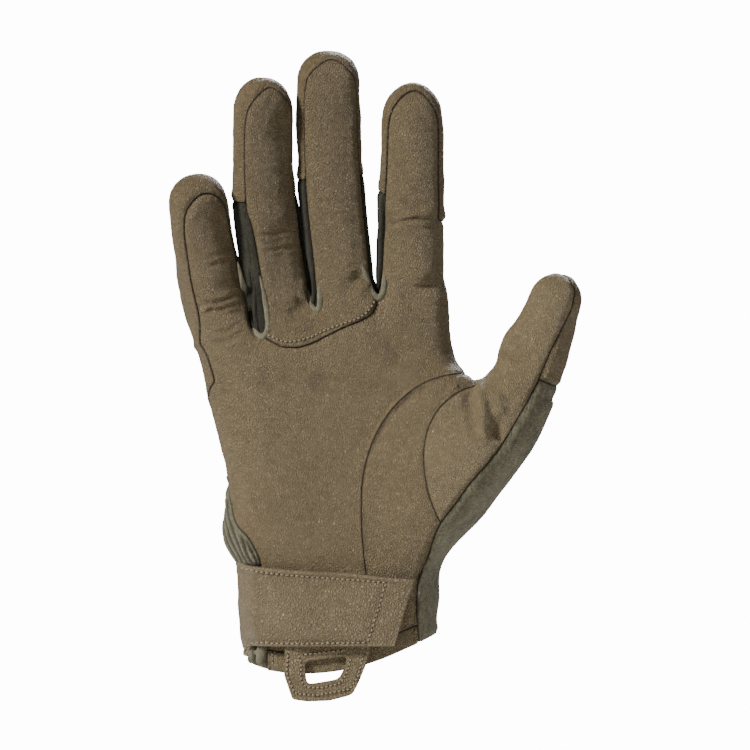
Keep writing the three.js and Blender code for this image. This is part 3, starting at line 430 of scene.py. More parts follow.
class Sheet:
    """Triangles with smooth normals and facts at their points, and a label each."""

    def __init__(self, points, normals, facts, triangles, labels):
        self.points, self.normals, self.facts = points, normals, facts
        self.triangles, self.labels = triangles, labels

    def insert(self, pairs, of_triangle, share):
        """New points on the edges whose share isn't NaN, on the curve that the normals at their ends give."""
        marked = ~np.isnan(share)
        ids = np.full(len(pairs), -1)
        ids[marked] = len(self.points) + np.arange(marked.sum())
        a, b = pairs[marked].T
        t = share[marked][:, None]
        p, q, n, m = self.points[a], self.points[b], self.normals[a], self.normals[b]
        near = (2 * p + q - ((q - p) * n).sum(1, keepdims=True) * n) / 3
        far = (2 * q + p - ((p - q) * m).sum(1, keepdims=True) * m) / 3
        s = 1 - t
        fresh = s ** 3 * p + 3 * s * s * t * near + 3 * s * t * t * far + t ** 3 * q
        self.points = np.concatenate([self.points, fresh])
        self.normals = np.concatenate([self.normals, unit(s * n + t * m)])
        self.facts = np.concatenate([self.facts, s * self.facts[a] + t * self.facts[b]])
        cut = ids[of_triangle]
        count = (cut >= 0).sum(1)
        made, source = [self.triangles[count == 0]], [np.flatnonzero(count == 0)]
        for total in (1, 2, 3):
            which = np.flatnonzero(count == total)
            if not len(which):
                continue
            has = cut[which] >= 0
            # Turn each triangle so that its first edge is the cut one, or its last edge the whole one
            turn = np.zeros(len(which), int)
            if total == 1:
                turn = np.argmax(has, 1)
            elif total == 2:
                turn = (np.argmin(has, 1) + 1) % 3
            order = (turn[:, None] + np.arange(3)) % 3
            a, b, c = np.take_along_axis(self.triangles[which], order, 1).T
            ab, bc, ca = np.take_along_axis(cut[which], order, 1).T
            if total == 1:
                parts = [(a, ab, c), (ab, b, c)]
            elif total == 2:
                parts = [(ab, b, bc), (a, ab, bc), (a, bc, c)]
            else:
                parts = [(a, ab, ca), (ab, b, bc), (ca, bc, c), (ab, bc, ca)]
            for part in parts:
                made.append(np.stack(part, 1))
                source.append(which)
        self.triangles = np.concatenate(made)
        return np.concatenate(source)

    def split(self, picked, field, new_label):
        """Cuts the picked triangles where field is zero, and gives those above zero the new label."""
        value = np.full(len(self.points), np.nan)
        used = np.unique(self.triangles[picked])
        value[used] = field(self.points[used], self.facts[used])
        pairs, of_triangle = edges_of(self.triangles)
        own = np.zeros(len(pairs), bool)
        own[of_triangle[picked].ravel()] = True
        va, vb = value[pairs[:, 0]], value[pairs[:, 1]]
        with np.errstate(invalid="ignore", divide="ignore"):
            share = va / (va - vb)
            crossing = own & (va * vb < 0)
        value[pairs[crossing & (share < 0.12), 0]] = 0
        value[pairs[crossing & (share > 0.88), 1]] = 0
        va, vb = value[pairs[:, 0]], value[pairs[:, 1]]
        with np.errstate(invalid="ignore", divide="ignore"):
            share = np.where(own & (va * vb < 0), va / (va - vb), np.nan)
        source = self.insert(pairs, of_triangle, share)
        value = np.concatenate([value, np.zeros(len(self.points) - len(value))])
        was = picked[source]
        above = value[self.triangles].sum(1) > 0
        self.labels = np.where(was & above, new_label, self.labels[source])

    def refine(self, limit, rounds=4):
        """Halves every edge longer than the limit, which may be a function of the place."""
        for _ in range(rounds):
            pairs, of_triangle = edges_of(self.triangles)
            ends = self.points[pairs]
            length = np.linalg.norm(ends[:, 0] - ends[:, 1], axis=1)
            most = limit(ends.mean(1)) if callable(limit) else limit
            if not (length > most).any():
                return
            source = self.insert(pairs, of_triangle, np.where(length > most, 0.5, np.nan))
            self.labels = self.labels[source]

    def patch(self, label):
        triangles = self.triangles[self.labels == label]
        used, inverse = np.unique(triangles, return_inverse=True)
        triangles = inverse.reshape(-1, 3)
        unlabelled = np.zeros(len(triangles), int)
        return Sheet(self.points[used], self.normals[used], self.facts[used], triangles, unlabelled)

    def rims(self):
        """The boundary loops, each a list of points in order, with the surface on its left."""
        a = self.triangles[:, [0, 1, 2]].ravel()
        b = self.triangles[:, [1, 2, 0]].ravel()
        forward = a * BIG + b
        lone = ~np.isin(forward, b * BIG + a)
        following = {}
        for start, end in zip(a[lone].tolist(), b[lone].tolist()):
            following.setdefault(start, []).append(end)
        loops = []
        while following:
            start = next(iter(following))
            loop, at = [], start
            while at in following:
                loop.append(at)
                ends = following[at]
                at_next = ends.pop()
                if not ends:
                    del following[at]
                at = at_next
            if len(loop) > 8:
                loops.append(np.array(loop))
        return loops


# Places where the sheet is evened out: the place on the palm side and the radius
EVENED = ((549, 402, 12), (447, 288, 12), (197, 352, 13), (478, 384, 7))
# Pinches (above 0) and swellings of the outline: the place, the radius and the depth
PINCHES = ((494, 364, 5, 1.7), (509, 330, 9, -1.0), (477, 388, 5, 0.6), (383, 225, 4, 0.5),
           (437, 226, 4, 0.4), (200, 290, 12, -0.4), (225, 508, 9, -0.5))


def evened(points, normals, triangles):
    """The sheet with its uneven places drawn smooth, and pinched or swollen where its outline is."""
    pairs, _ = edges_of(triangles)
    count = np.bincount(pairs.ravel(), minlength=len(points))[:, None]
    share = np.zeros(len(points))
    for px, py, radius in EVENED:
        x, z = spot(px, py)
        share = np.maximum(share, np.exp(-((points[:, 0] - x) ** 2 + (points[:, 2] - z) ** 2) / radius ** 2))
    for _ in range(7):
        total = np.zeros_like(points)
        np.add.at(total, pairs[:, 0], points[pairs[:, 1]])
        np.add.at(total, pairs[:, 1], points[pairs[:, 0]])
        points = points + 0.8 * share[:, None] * (total / count - points)
    for px, py, radius, depth in PINCHES:
        x, z = spot(px, py)
        near = np.exp(-((points[:, 0] - x) ** 2 + (points[:, 2] - z) ** 2) / radius ** 2)
        points = points - normals * (depth * near)[:, None]
    return points


def line_side(line, x, z, reach=(1e6, 1e6)):
    """Signed distance to the left of a line of points. Its first and last stretches go on for ever."""
    best = np.full(len(x), np.inf)
    side = np.zeros(len(x))
    for k in range(1, len(line)):
        (ax, az), (bx, bz) = line[k - 1], line[k]
        size = math.hypot(bx - ax, bz - az)
        ux, uz = (bx - ax) / size, (bz - az) / size
        along = (x - ax) * ux + (z - az) * uz
        along = np.clip(along, -reach[0] if k == 1 else 0, size + (reach[1] if k == len(line) - 1 else 0))
        gap = np.hypot(x - ax - along * ux, z - az - along * uz)
        cross = ux * (z - az) - uz * (x - ax)
        nearer = (gap < best - 1e-6) | ((gap < best + 1e-6) & (np.abs(cross) > np.abs(side)))
        best = np.where(nearer, gap, best)
        side = np.where(nearer, cross, side)
    return np.sign(side) * best


def edge_line(table, width):
    return [(x * width, up * PALM_LENGTH) for up, x in table]


KNIT_LINE = edge_line(KNIT_EDGE, THUMB_SIDE)
GUSSET_LINE = edge_line(GUSSET_EDGE, THUMB_SIDE)
SCALLOP_LINE = edge_line(SCALLOP, LITTLE_SIDE)


# The pads of the ring and middle fingers start right of these lines, where the knit shows beside them
RING_EDGE = ((269, 345), (267, 310), (263, 285), (256, 244), (252, 224), (247, 212), (238, 198), (225, 190))
MIDDLE_EDGE = ((322, 325), (319.5, 308), (317, 290), (311, 244), (308, 213), (306, 188), (290, 178))
RING_LINE = [spot(*q) for q in RING_EDGE]
MIDDLE_LINE = [spot(*q) for q in MIDDLE_EDGE]


def beyond_knit_edge(p, f):
    return -line_side(KNIT_LINE, p[:, 0], p[:, 2])


def beyond_gusset_edge(p, f):
    return line_side(GUSSET_LINE, p[:, 0], p[:, 2])


def above_scallop(p, f):
    return line_side(SCALLOP_LINE, p[:, 0], p[:, 2])


def inside_arc(arc):
    x, z, left, high, low = arc

    def field(p, f):
        dx = np.minimum(0, p[:, 0] / THUMB_SIDE - x) / left
        up = p[:, 2] / PALM_LENGTH - z
        return (1 - np.hypot(dx, up / np.where(up > 0, high, low))) * left * THUMB_SIDE

    return field


def make_panels():
    """The whole sheet, cut along the seams. Returns it with the names of its panels."""
    cage = Cage()
    points, facts, quads, labels = subdivided(cage.points, cage.faces, cage.facts, cage.zones, 2)
    triangles = np.concatenate([quads[:, [0, 1, 2]], quads[:, [0, 2, 3]]])
    labels = np.concatenate([labels, labels])
    points = evened(points, normals_of(points, triangles), triangles)
    sheet = Sheet(points, normals_of(points, triangles), facts, triangles, labels)
    names = list(cage.names)

    def number(name):
        if name not in names:
            names.append(name)
        return names.index(name)

    def picked(*wanted):
        numbers = [k for k, name in enumerate(names) if any(name.startswith(w) for w in wanted)]
        return np.isin(sheet.labels, numbers)

    def rename(name, *wanted):
        sheet.labels[picked(*wanted)] = number(name)

    def split(wanted, field, name):
        sheet.split(picked(*wanted), field, number(name))

    for i, (name, finger) in enumerate(zip(NAMES, FINGERS)):
        if i != THUMB:
            split([f"{name} front"], lambda p, f, g=finger: g["inset"] + PAD_ARCH * (
                1 - np.sqrt(np.maximum(0, 1 - (f[:, 0] / PAD_ANGLE) ** 2))) - f[:, 2], f"cap_{name}")
            split([f"{name} left", f"{name} right", f"{name} back"],
                  lambda p, f, g=finger: g["cap"] + g["cap_slant"] * f[:, 1] - f[:, 2], f"cap_{name}")
        else:
            split(["thumb right"], lambda p, f, g=finger: g["cap"] - f[:, 2], "thumb cap side")
            split(["thumb back"], lambda p, f, g=finger: g["cap"] - f[:, 2], "cap_thumb")
    rename("cap_little", "little left")
    split(["palm left 0"],
          lambda p, f: p[:, 2] - (SIDE_STRIP_FOOT - SIDE_STRIP_SLANT * p[:, 1]) * PALM_LENGTH, "cap_little")
    rename("thumb_panel", "thumb left")
    split(["thumb front", "thumb cap side"], beyond_knit_edge, "cap_thumb")
    rename("thumb_panel", "thumb front", "thumb cap side")
    split(["cap_thumb"], lambda p, f: f[:, 2] - FINGERS[THUMB]["cap"], "thumb_knit")
    rename("thumb_knit", "thumb right", "thumb back", f"palm right {THUMB}", f"palm back {THUMB}")
    split(["palm front", "hem"], beyond_knit_edge, "thumb_knit")
    split(["palm front", "hem"], beyond_gusset_edge, "low left")
    split(["palm left 0"],
          lambda p, f: np.maximum(beyond_gusset_edge(p, f), -GUSSET_WRAP - f[:, 0]), "low left")
    split(["low left"], lambda p, f: GUSSET_TOP * PALM_LENGTH - p[:, 2], "wrist_gusset")
    rename("palm_panel", "low left", "palm left 0")
    split(["palm front", f"palm right {THUMB - 1}"], inside_arc(OUTER_ARC), "thumb_crescent")
    split(["thumb_crescent"], inside_arc(INNER_ARC), "thumb_panel")
    split(["palm front"], above_scallop, "finger_panel")
    split(["index right", f"palm right {THUMB - 1}"], lambda p, f: INDEX_WRAP - f[:, 0], "palm_panel")
    rename("palm_panel", "palm front", "little front", "index front")
    split(["ring front"], lambda p, f: line_side(RING_LINE, p[:, 0], p[:, 2]), "ring left")
    split(["middle front"], lambda p, f: line_side(MIDDLE_LINE, p[:, 0], p[:, 2]), "middle left")
    rename("finger_panel", "ring front", "middle front")
    rename("fourchette_little_ring", "little right", "ring left")
    rename("fourchette_ring_middle", "ring right", "middle left")
    rename("fourchette_middle_index", "middle right", "index left")
    rename("back_panel", "palm back", "palm right", "little back", "ring back", "middle back", "index back",
           "index right", "little right", "ring right", "middle right")
    rename("hem_band", "hem")
    return sheet, names


# Folds and creases of the palm side: depth (a ridge has a negative one), half width and the height of the
# ridge below it in millimetres, then the places that it runs through
CREASES = (
    (0.75, 0.75, 0.4, (384, 222.5), (405, 221.5), (421, 219.5), (437, 217)),
    (0.35, 0.6, 0.1, (413, 229.5), (424, 229), (438, 228)),
    (-0.45, 2.6, 0, (384, 231), (402, 230), (420, 233)),
    (0.16, 0.7, 0.05, (383, 211), (402, 209), (428, 210)),
    (0.12, 0.6, 0.05, (386, 204), (408, 201), (433, 203)),
    (0.5, 2.6, 0.2, (388, 277), (402, 281), (420, 285), (446, 286)),
    (0.35, 0.6, 0.1, (400, 284), (420, 287), (444, 286.5)),
    (0.28, 0.6, 0.15, (312, 216), (333, 213.5), (356, 211)),
    (0.18, 0.9, 0.1, (312, 203), (334, 200), (356, 201)),
    (0.15, 0.8, 0.1, (318, 157), (338, 157), (356, 160)),
    (1.2, 2.4, 0.3, (340, 297), (350, 288), (358, 278), (363, 268)),
    (-0.5, 1.3, 0, (352, 299), (362, 290), (369, 279)),
    (0.3, 0.8, 0.1, (331, 282), (344, 272), (357, 262)),
    (1.2, 2.6, 0.3, (290, 319), (299, 310), (306, 299)),
    (0.25, 0.9, 0.1, (266, 309), (281, 305), (295, 303)),
    (0.22, 0.7, 0.15, (256, 237), (276, 233), (298, 230)),
    (0.22, 0.7, 0.15, (262, 252), (280, 249), (298, 245)),
    (0.25, 0.8, 0.1, (204, 259), (217, 255), (231, 249)),
    (0.25, 0.8, 0.1, (203, 268), (218, 263), (235, 257)),
    (0.4, 0.8, 0.25, (193, 306), (215, 302), (241, 293)),
    (0.35, 0.7, 0.2, (196, 314), (218, 310), (243, 302)),
    (0.2, 0.6, 0.1, (201, 321), (222, 316), (244, 311)),
    (0.5, 1.0, 0.3, (207, 344), (228, 340), (249, 330)),
    (0.35, 0.7, 0.2, (206, 334), (226, 330), (245, 322)),
    (0.25, 0.7, 0.1, (210, 353), (229, 350), (250, 342)),
    (0.5, 2.6, 0.1, (259, 340), (266, 360), (272, 390)),
    (1.3, 4.6, 0.2, (389, 332), (394, 350), (404, 366)),
    (1.3, 5.0, 0.1, (394, 352), (425, 362), (460, 374)),
    (1.2, 8.0, 0.0, (248, 378), (300, 388), (350, 378)),
    (0.5, 5.0, 0.1, (312, 372), (335, 392), (350, 415)),
    (0.9, 3.6, 0, (462, 371), (425, 379), (396, 399), (373, 431), (360, 470)),
    (-0.7, 4.5, 0, (446, 389), (412, 410), (392, 440), (384, 480)),
    (0.5, 3.0, 0, (459, 398), (436, 420), (429, 450)),
    (1.6, 2.0, 0, (470, 388), (471, 412), (474, 440)),
    (-1.9, 1.7, 0, (479, 380), (482, 410), (484, 443)),
    (1.7, 2.2, 0, (488, 388), (492, 412), (501, 445)),
    (0.25, 0.8, 0.1, (503, 420), (508, 431), (513, 441)),
    (0.25, 0.9, 0.1, (494, 432), (501, 442), (509, 449)),
    (0.6, 2.0, 0.2, (485, 380), (502, 391), (514, 408)),
    (0.5, 1.2, 0.2, (499, 353), (506, 357), (514, 366)),
    (0.4, 0.9, 0.15, (425, 383), (422, 390), (419, 398)),
    (0.35, 0.8, 0.15, (449, 381), (444, 388), (441, 394)),
    (0.3, 1.0, 0.1, (462, 384), (455, 392), (450, 400)),
)

LATTICE = np.random.default_rng(5).uniform(-1, 1, (32, 32, 32))


def rough(p, size):
    """Smooth noise from -1 to 1, with features of that size."""
    q = p / size
    base = np.floor(q).astype(int)
    f = q - base
    f = f * f * (3 - 2 * f)
    total = np.zeros(len(p))
    for corner in np.ndindex(2, 2, 2):
        weight = np.prod(np.where(corner, f, 1 - f), axis=1)
        total += weight * LATTICE[tuple(((base + corner) % 32).T)]
    return total


def line_distance(line, x, z):
    """Distance to a line of points, and the share of the way along it."""
    best = np.full(len(x), np.inf)
    share = np.zeros(len(x))
    sizes = [math.dist(line[k], line[k + 1]) for k in range(len(line) - 1)]
    done = 0
    for k, size in enumerate(sizes):
        (ax, az), (bx, bz) = line[k], line[k + 1]
        t = np.clip(((x - ax) * (bx - ax) + (z - az) * (bz - az)) / size ** 2, 0, 1)
        gap = np.hypot(x - ax - t * (bx - ax), z - az - t * (bz - az))
        nearer = gap < best
        best = np.where(nearer, gap, best)
        share = np.where(nearer, (done + t * size) / sum(sizes), share)
        done += size
    return best, share


def relief(p, n):
    """Height of the folds and wrinkles, and a tone: paler above 0, painted shade below 0."""
    facing = smooth(-n[:, 1] * 1.6)
    height, tone_and_shade = np.zeros(len(p)), np.zeros(len(p))
    for depth, wide, ridge, *line in CREASES:
        line = [spot(*q) for q in line]
        reach = 4 * wide
        xs, zs = [q[0] for q in line], [q[1] for q in line]
        near = np.flatnonzero((p[:, 0] > min(xs) - reach) & (p[:, 0] < max(xs) + reach)
                              & (p[:, 2] > min(zs) - reach) & (p[:, 2] < max(zs) + reach))
        if not len(near):
            continue
        q = p[near]
        gap, share = line_distance(line, q[:, 0] + 0.7 * rough(q, 3.5), q[:, 2] + 0.7 * rough(q + 40, 3.5))
        fade = smooth(share * 3.5) * smooth((1 - share) * 3.5) * (0.8 + 0.35 * rough(q + 20, 6))
        fold = ridge * np.exp(-((gap - 2 * wide) / wide) ** 2) - depth * np.exp(-(gap / wide) ** 2)
        height[near] += 1.25 * fade * fold
        # Narrow creases also tint the colour: painted shade in their valleys, paler on the ridges beside them
        if wide < 1.6:
            tone_and_shade[near] += 0.6 * fade * fold
    height *= facing
    fine = 0.09 * (1 - 2 * np.abs(rough(p + 7, 3.2))) + 0.06 * rough(p, 1.4)
    broad = 0.6 * rough(p + 3, 15) + 0.26 * rough(p + 11, 6.5)
    return height + fine + broad, tone_and_shade * facing + fine * 1.2


def finish_mesh(name, points, faces, facts, material, nodes=()):
    """A mesh object in metres that rides on the glove, with its facts as attributes."""
    mesh = bpy.data.meshes.new(name)
    mesh.from_pydata((np.asarray(points) * MM).tolist(), [], [list(f) for f in faces])
    for key, values in facts.items():
        values = np.asarray(values, np.float32)
        if values.ndim == 2:
            mesh.attributes.new(key, "FLOAT_VECTOR", "POINT").data.foreach_set("vector", values.ravel())
        else:
            mesh.attributes.new(key, "FLOAT", "POINT").data.foreach_set("value", values)
    mesh.polygons.foreach_set("use_smooth", [True] * len(mesh.polygons))
    mesh.materials.append(material)
    made = bpy.data.objects.new(name, mesh)
    bpy.context.scene.collection.objects.link(made)
    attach(made, "root")
    if nodes:
        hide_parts(*nodes)
    return made


class Look:
    """How a panel is finished: its thickness, how wide and deep its edge rolls, the swell and the puckers
    beside its seam, the gap in the seam, how far its edge lifts, its share of the folds and the longest side
    of its triangles."""

    def __init__(self, thickness=1.4, roll=0.7, drop=0.5, swell=0.25, pucker=0.1, gap=0.05, lift=0.0,
                 wrinkle=1.0, fine=1.05):
        self.thickness, self.roll, self.drop, self.swell, self.pucker = thickness, roll, drop, swell, pucker
        self.gap, self.lift, self.wrinkle, self.fine = gap, lift, wrinkle, fine


def eased(values, rounds):
    for _ in range(rounds):
        values = (np.roll(values, 1, 0) + 2 * values + np.roll(values, -1, 0)) / 4
    return values


# The distance from a seam at which its painted shade has mostly faded
SEAM_FADE = 0.42


def solid(patch, look, extra=None):
    """A closed panel whose edge rolls down into its seams. Returns points, faces and facts."""
    for loop in patch.rims():
        patch.points[loop] = eased(patch.points[loop], 3)
    patch.refine(look.fine, 5)
    loops = patch.rims()
    rim = np.concatenate(loops)
    inward = np.zeros((len(patch.points), 3))
    arc = np.zeros(len(patch.points))
    for loop in loops:
        p = patch.points[loop]
        tangent = unit(eased(np.roll(p, -1, 0) - np.roll(p, 1, 0), 2))
        inward[loop] = unit(eased(unit(np.cross(patch.normals[loop], tangent)), 3))
        arc[loop] = np.cumsum(np.linalg.norm(p - np.roll(p, 1, 0), axis=1))
    tree = KDTree(len(rim))
    for k, p in enumerate(patch.points[rim]):
        tree.insert(p, k)
    tree.balance()
    found = [tree.find(p)[1:] for p in patch.points]
    nearest = rim[np.array([k for k, _ in found])]
    away = np.array([d for _, d in found])
    away[rim] = 0
    height, tone_and_shade = relief(patch.points, patch.normals)
    height *= look.wrinkle * smooth(away / 2.0)
    wave = np.sin(arc[nearest] / 0.55 + 2.2 * rough(patch.points[nearest], 7))
    swell = look.swell * np.exp(-((away - 2.6) / 1.7) ** 2)
    height += swell + look.pucker * wave * np.exp(-((away - 1.2) / 1.6) ** 2)
    height += look.lift * np.exp(-(away / 4.0) ** 2)
    if extra is not None:
        more, more_tone_and_shade = extra(patch.points, patch.normals, away)
        height += more
        tone_and_shade = tone_and_shade + more_tone_and_shade
    base = patch.points.copy()
    reach = 3 * look.roll
    near = 1 - away / reach
    squeeze = np.where(away < reach, look.roll * near, 0) + look.gap * (away < reach) * near
    top = base + inward[nearest] * squeeze[:, None] + patch.normals * height[:, None]
    inner = base + patch.normals * (np.minimum(height, 0) - look.thickness)[:, None]
    points, triangles = [top, inner], [patch.triangles, len(top) + patch.triangles[:, ::-1]]
    # Painted shade: the seam fact darkens the top near its rim and the whole inner side, which the tone fact
    # darkens further
    seam = [np.exp(-((away + squeeze) / SEAM_FADE) ** 2), np.ones(len(inner))]
    tones_and_shades = [tone_and_shade, np.full(len(inner), -0.3)]
    count = 2 * len(top)
    turns = np.radians((20, 40, 60, 80))
    steps = [(look.roll * (1 - math.sin(a)), look.drop * (1 - math.cos(a))) for a in turns]
    steps.append((0.0, look.drop + 0.15))
    for loop in loops:
        rows = [loop]
        for out, down in steps:
            rows.append(count + np.arange(len(loop)))
            rise = (height[loop] - down)[:, None]
            points.append(base[loop] + inward[loop] * (out + look.gap) + patch.normals[loop] * rise)
            # Painted shade grows down the roll into the seam; the roll's crown is paler
            seam.append(np.full(len(loop), math.exp(-(out / SEAM_FADE) ** 2)))
            tones_and_shades.append(np.full(len(loop), 0.15 if out > 0.3 else -0.3))
            count += len(loop)
        rows.append(len(top) + loop)
        for a, b in zip(rows, rows[1:]):
            triangles.append(np.stack([np.roll(a, -1), a, b], 1))
            triangles.append(np.stack([np.roll(a, -1), b, np.roll(b, -1)], 1))
    facts = {"seam": np.concatenate(seam), "tone_and_shade": np.concatenate(tones_and_shades)}
    return np.concatenate(points), np.concatenate(triangles), facts


def shade(color, share=1.0):
    """A colour for a shader, darker or paler by the share."""
    return tuple(share * c for c in color) + (1,)


class Nodes:
    """A material and a short way to add nodes: a value is set on a socket, a socket is linked to it."""

    def __init__(self, name):
        self.material = bpy.data.materials.new(name)
        self.material.use_nodes = True
        self.tree = self.material.node_tree
        self.tree.nodes.clear()

    def add(self, kind, sockets=None, out=0, **settings):
        node = self.tree.nodes.new("ShaderNode" + kind)
        for key, value in settings.items():
            setattr(node, key, value)
        for key, value in (sockets or {}).items():
            if isinstance(value, bpy.types.NodeSocket):
                self.tree.links.new(value, node.inputs[key])
            else:
                node.inputs[key].default_value = value
        return node.outputs[out] if node.outputs else None

    def math(self, operation, a, b=0.0):
        return self.add("Math", {0: a, 1: b}, operation=operation)

    def plus(self, a, b):
        return self.math("ADD", a, b)

    def minus(self, a, b):
        return self.math("SUBTRACT", a, b)

    def times(self, a, b):
        return self.math("MULTIPLY", a, b)

    def fact(self, name, out=2):
        return self.add("Attribute", attribute_name=name, out=out)

    def blend(self, share, a, b):
        """Colour a turns into colour b with the share."""
        return self.add("Mix", {0: share, 6: a, 7: b}, out=2, data_type="RGBA")

    def noise(self, place, scale, detail=3.0, rough_share=0.55, distortion=0.0):
        return self.add("TexNoise", {"Vector": place, "Scale": scale, "Detail": detail,
                                     "Roughness": rough_share, "Distortion": distortion})

    def spread(self, value, low, high, to_low=0.0, to_high=1.0):
        return self.add("MapRange", {0: value, 1: low, 2: high, 3: to_low, 4: to_high})

    def bump(self, height, distance, strength=1.0, under=None):
        sockets = {"Height": height, "Distance": distance, "Strength": strength}
        if under is not None:
            sockets["Normal"] = under
        return self.add("Bump", sockets)

    def end(self, color, roughness, normal, **fixed):
        sockets = {"Base Color": color, "Roughness": roughness, "Normal": normal}
        sockets.update({key.replace("_", " "): value for key, value in fixed.items()})
        shader = self.add("BsdfPrincipled", sockets)
        self.add("OutputMaterial", {0: shader})
        return self.material


# The leather's pebbles to the metre and their height in metres
GRAIN_SCALE = 1150
GRAIN_HEIGHT = 0.0005


def leather(name, light, dark, grain=1.0, gloss=0.5, groove=(0.03, 0.021, 0.012)):
    """Fine-grained leather: pebbles with dark lines between, paler in places, painted shade in folds and
    seams.
    """
    n = Nodes(name)
    place = n.add("TexCoord", out=3)
    deep = shade(dark, 0.45)
    color = n.blend(n.spread(n.noise(place, 40, 4, 0.6), 0.3, 0.72, 0.25, 0.85), shade(dark), shade(light))
    shift = n.add("VectorMath", {0: n.noise(place, 420, 2), 3: 0.0012}, operation="SCALE")
    wobble = n.add("VectorMath", {0: place, 1: shift}, operation="ADD")
    drawn = n.add("Mapping", {"Vector": wobble, "Scale": (1.15, 1.0, 0.8)})
    cells = n.add("TexVoronoi", {"Vector": drawn, "Scale": GRAIN_SCALE / grain}, feature="DISTANCE_TO_EDGE")
    pebbles = n.spread(cells, 0.0, 0.3)
    tone = n.add("TexVoronoi", {"Vector": drawn, "Scale": GRAIN_SCALE / grain}, out=1)
    creased = n.math("ABSOLUTE", n.minus(n.noise(place, 330, 5, 0.62, 0.9), 0.5))
    lines = n.spread(creased, 0.0, 0.05)
    color = n.blend(n.times(tone, 0.04), color, shade(light, 1.35))
    color = n.blend(n.times(n.minus(1.0, pebbles), 0.3), color, deep)
    color = n.blend(n.times(n.minus(1.0, lines), 0.18), color, deep)
    tone_and_shade = n.fact("tone_and_shade")
    # Paler where the tone fact is above 0; painted shade where it is below 0: in creases, down in the seams
    # and on the inner side
    color = n.blend(n.spread(tone_and_shade, 0.0, 0.9, 0.0, 0.4), color, shade(light, 1.5))
    color = n.blend(n.spread(tone_and_shade, 0.0, -1.0, 0.0, 0.6), color, shade(dark, 0.5))
    # Painted shade: the seam fact darkens the leather to the groove's colour towards its seams and on its
    # inner side
    color = n.blend(n.times(n.fact("seam"), 0.7), color, shade(groove))
    height = n.plus(n.times(pebbles, 1.0), n.times(lines, 0.35))
    height = n.plus(height, n.times(n.noise(place, 2100, 3), 0.1))
    shine = n.spread(n.noise(place, 90, 3), 0.3, 0.7, gloss - 0.04, gloss + 0.08)
    return n.end(color, shine, n.bump(height, GRAIN_HEIGHT, 1.0), Specular_IOR_Level=0.34)


def knit(name, light, dark, pitch=0.95, depth=0.0003):
    """Felted fine knit: faint columns of V stitches under fuzz. The weave fact is a place in millimetres."""
    n = Nodes(name)
    place = n.add("TexCoord", out=3)
    weave = n.add("SeparateXYZ", {0: n.fact("weave", 1)}).node
    across, along = weave.outputs[0], weave.outputs[1]
    wander = n.times(n.minus(n.noise(place, 260, 3), 0.5), 1.1)
    column = n.math("FRACT", n.plus(n.times(across, 1 / pitch), wander))
    side = n.times(n.math("ABSOLUTE", n.minus(column, 0.5)), 2.0)
    row = n.math("FRACT", n.plus(n.times(along, 1.25 / pitch), n.times(side, 0.55)))
    arch = n.math("SINE", n.times(row, math.pi))
    leg = n.minus(1.0, n.math("POWER", side, 4.0))
    stitch = n.times(n.plus(n.times(arch, 0.55), 0.45), leg)
    fuzz = n.noise(place, 1300, 4, 0.7)
    tuft = n.noise(place, 380, 5, 0.65)
    color = n.blend(n.spread(n.noise(place, 85, 5, 0.65), 0.32, 0.68), shade(dark), shade(light))
    color = n.blend(n.times(n.minus(1.0, stitch), 0.22), color, shade(dark, 0.5))
    color = n.blend(n.spread(tuft, 0.4, 0.72, 0.0, 0.6), color, shade(light, 1.3))
    color = n.blend(n.spread(fuzz, 0.55, 0.35, 0.0, 0.5), color, shade(dark, 0.45))
    tone_and_shade = n.fact("tone_and_shade")
    # Painted shade where the tone fact is below 0: between the fingers, in the pleats' troughs and on the
    # inner side
    color = n.blend(n.spread(tone_and_shade, 0.0, -1.0, 0.0, 0.8), color, shade(dark, 0.3))
    # Painted shade towards the seams and on the inner side
    color = n.blend(n.times(n.fact("seam"), 0.6), color, shade(dark, 0.3))
    height = n.plus(n.times(stitch, 0.5), n.times(fuzz, 1.1))
    normal = n.bump(n.plus(height, n.times(tuft, 1.6)), depth, 1.0)
    return n.end(color, 0.92, normal, Specular_IOR_Level=0.18, Sheen_Weight=0.05, Sheen_Roughness=0.5)


def thread(name, color):
    n = Nodes(name)
    place = n.add("TexCoord", out=3)
    twist = n.noise(place, 2600, 2)
    tint = n.blend(n.spread(twist, 0.35, 0.7), shade(color, 0.6), shade(color))
    return n.end(tint, 0.7, n.bump(twist, 0.0001, 0.8), Specular_IOR_Level=0.3)


LEATHER = leather("leather", (0.2, 0.149, 0.078), (0.145, 0.107, 0.054))
# A darker copy of the leather for the ring and middle fingers: painted shade, as they turn away from the key
# lamp
SHADED_FINGER_LEATHER = leather("finger_leather_shaded", (0.182, 0.136, 0.071), (0.132, 0.097, 0.049))
# A paler, finer-grained and shinier copy for the thumb: the paleness is painted light, as the thumb faces the
# key lamp
LIT_THUMB_LEATHER = leather("thumb_leather_lit", (0.24, 0.182, 0.098), (0.185, 0.139, 0.073), 0.9, 0.46)
CAP_LEATHER = leather("cap_leather", (0.19, 0.14, 0.073), (0.138, 0.101, 0.051), 1.0, 0.46)
STRAP_LEATHER = leather("strap_leather", (0.207, 0.155, 0.084), (0.154, 0.115, 0.061), 1.25, 0.44)
KNIT = knit("knit", (0.145, 0.131, 0.084), (0.07, 0.063, 0.041))
# A near-black copy of the knit for between the fingers: painted shade
SHADED_FOURCHETTE_KNIT = knit("fourchette_knit_shaded", (0.036, 0.033, 0.021), (0.016, 0.0145, 0.009))
RIM_KNIT = knit("rim_knit", (0.165, 0.15, 0.098), (0.093, 0.085, 0.055), 0.8)
HOOK = knit("hook_tape", (0.09, 0.065, 0.035), (0.05, 0.036, 0.02), 0.8, 0.0004)
THREAD = thread("thread", (0.33, 0.265, 0.165))
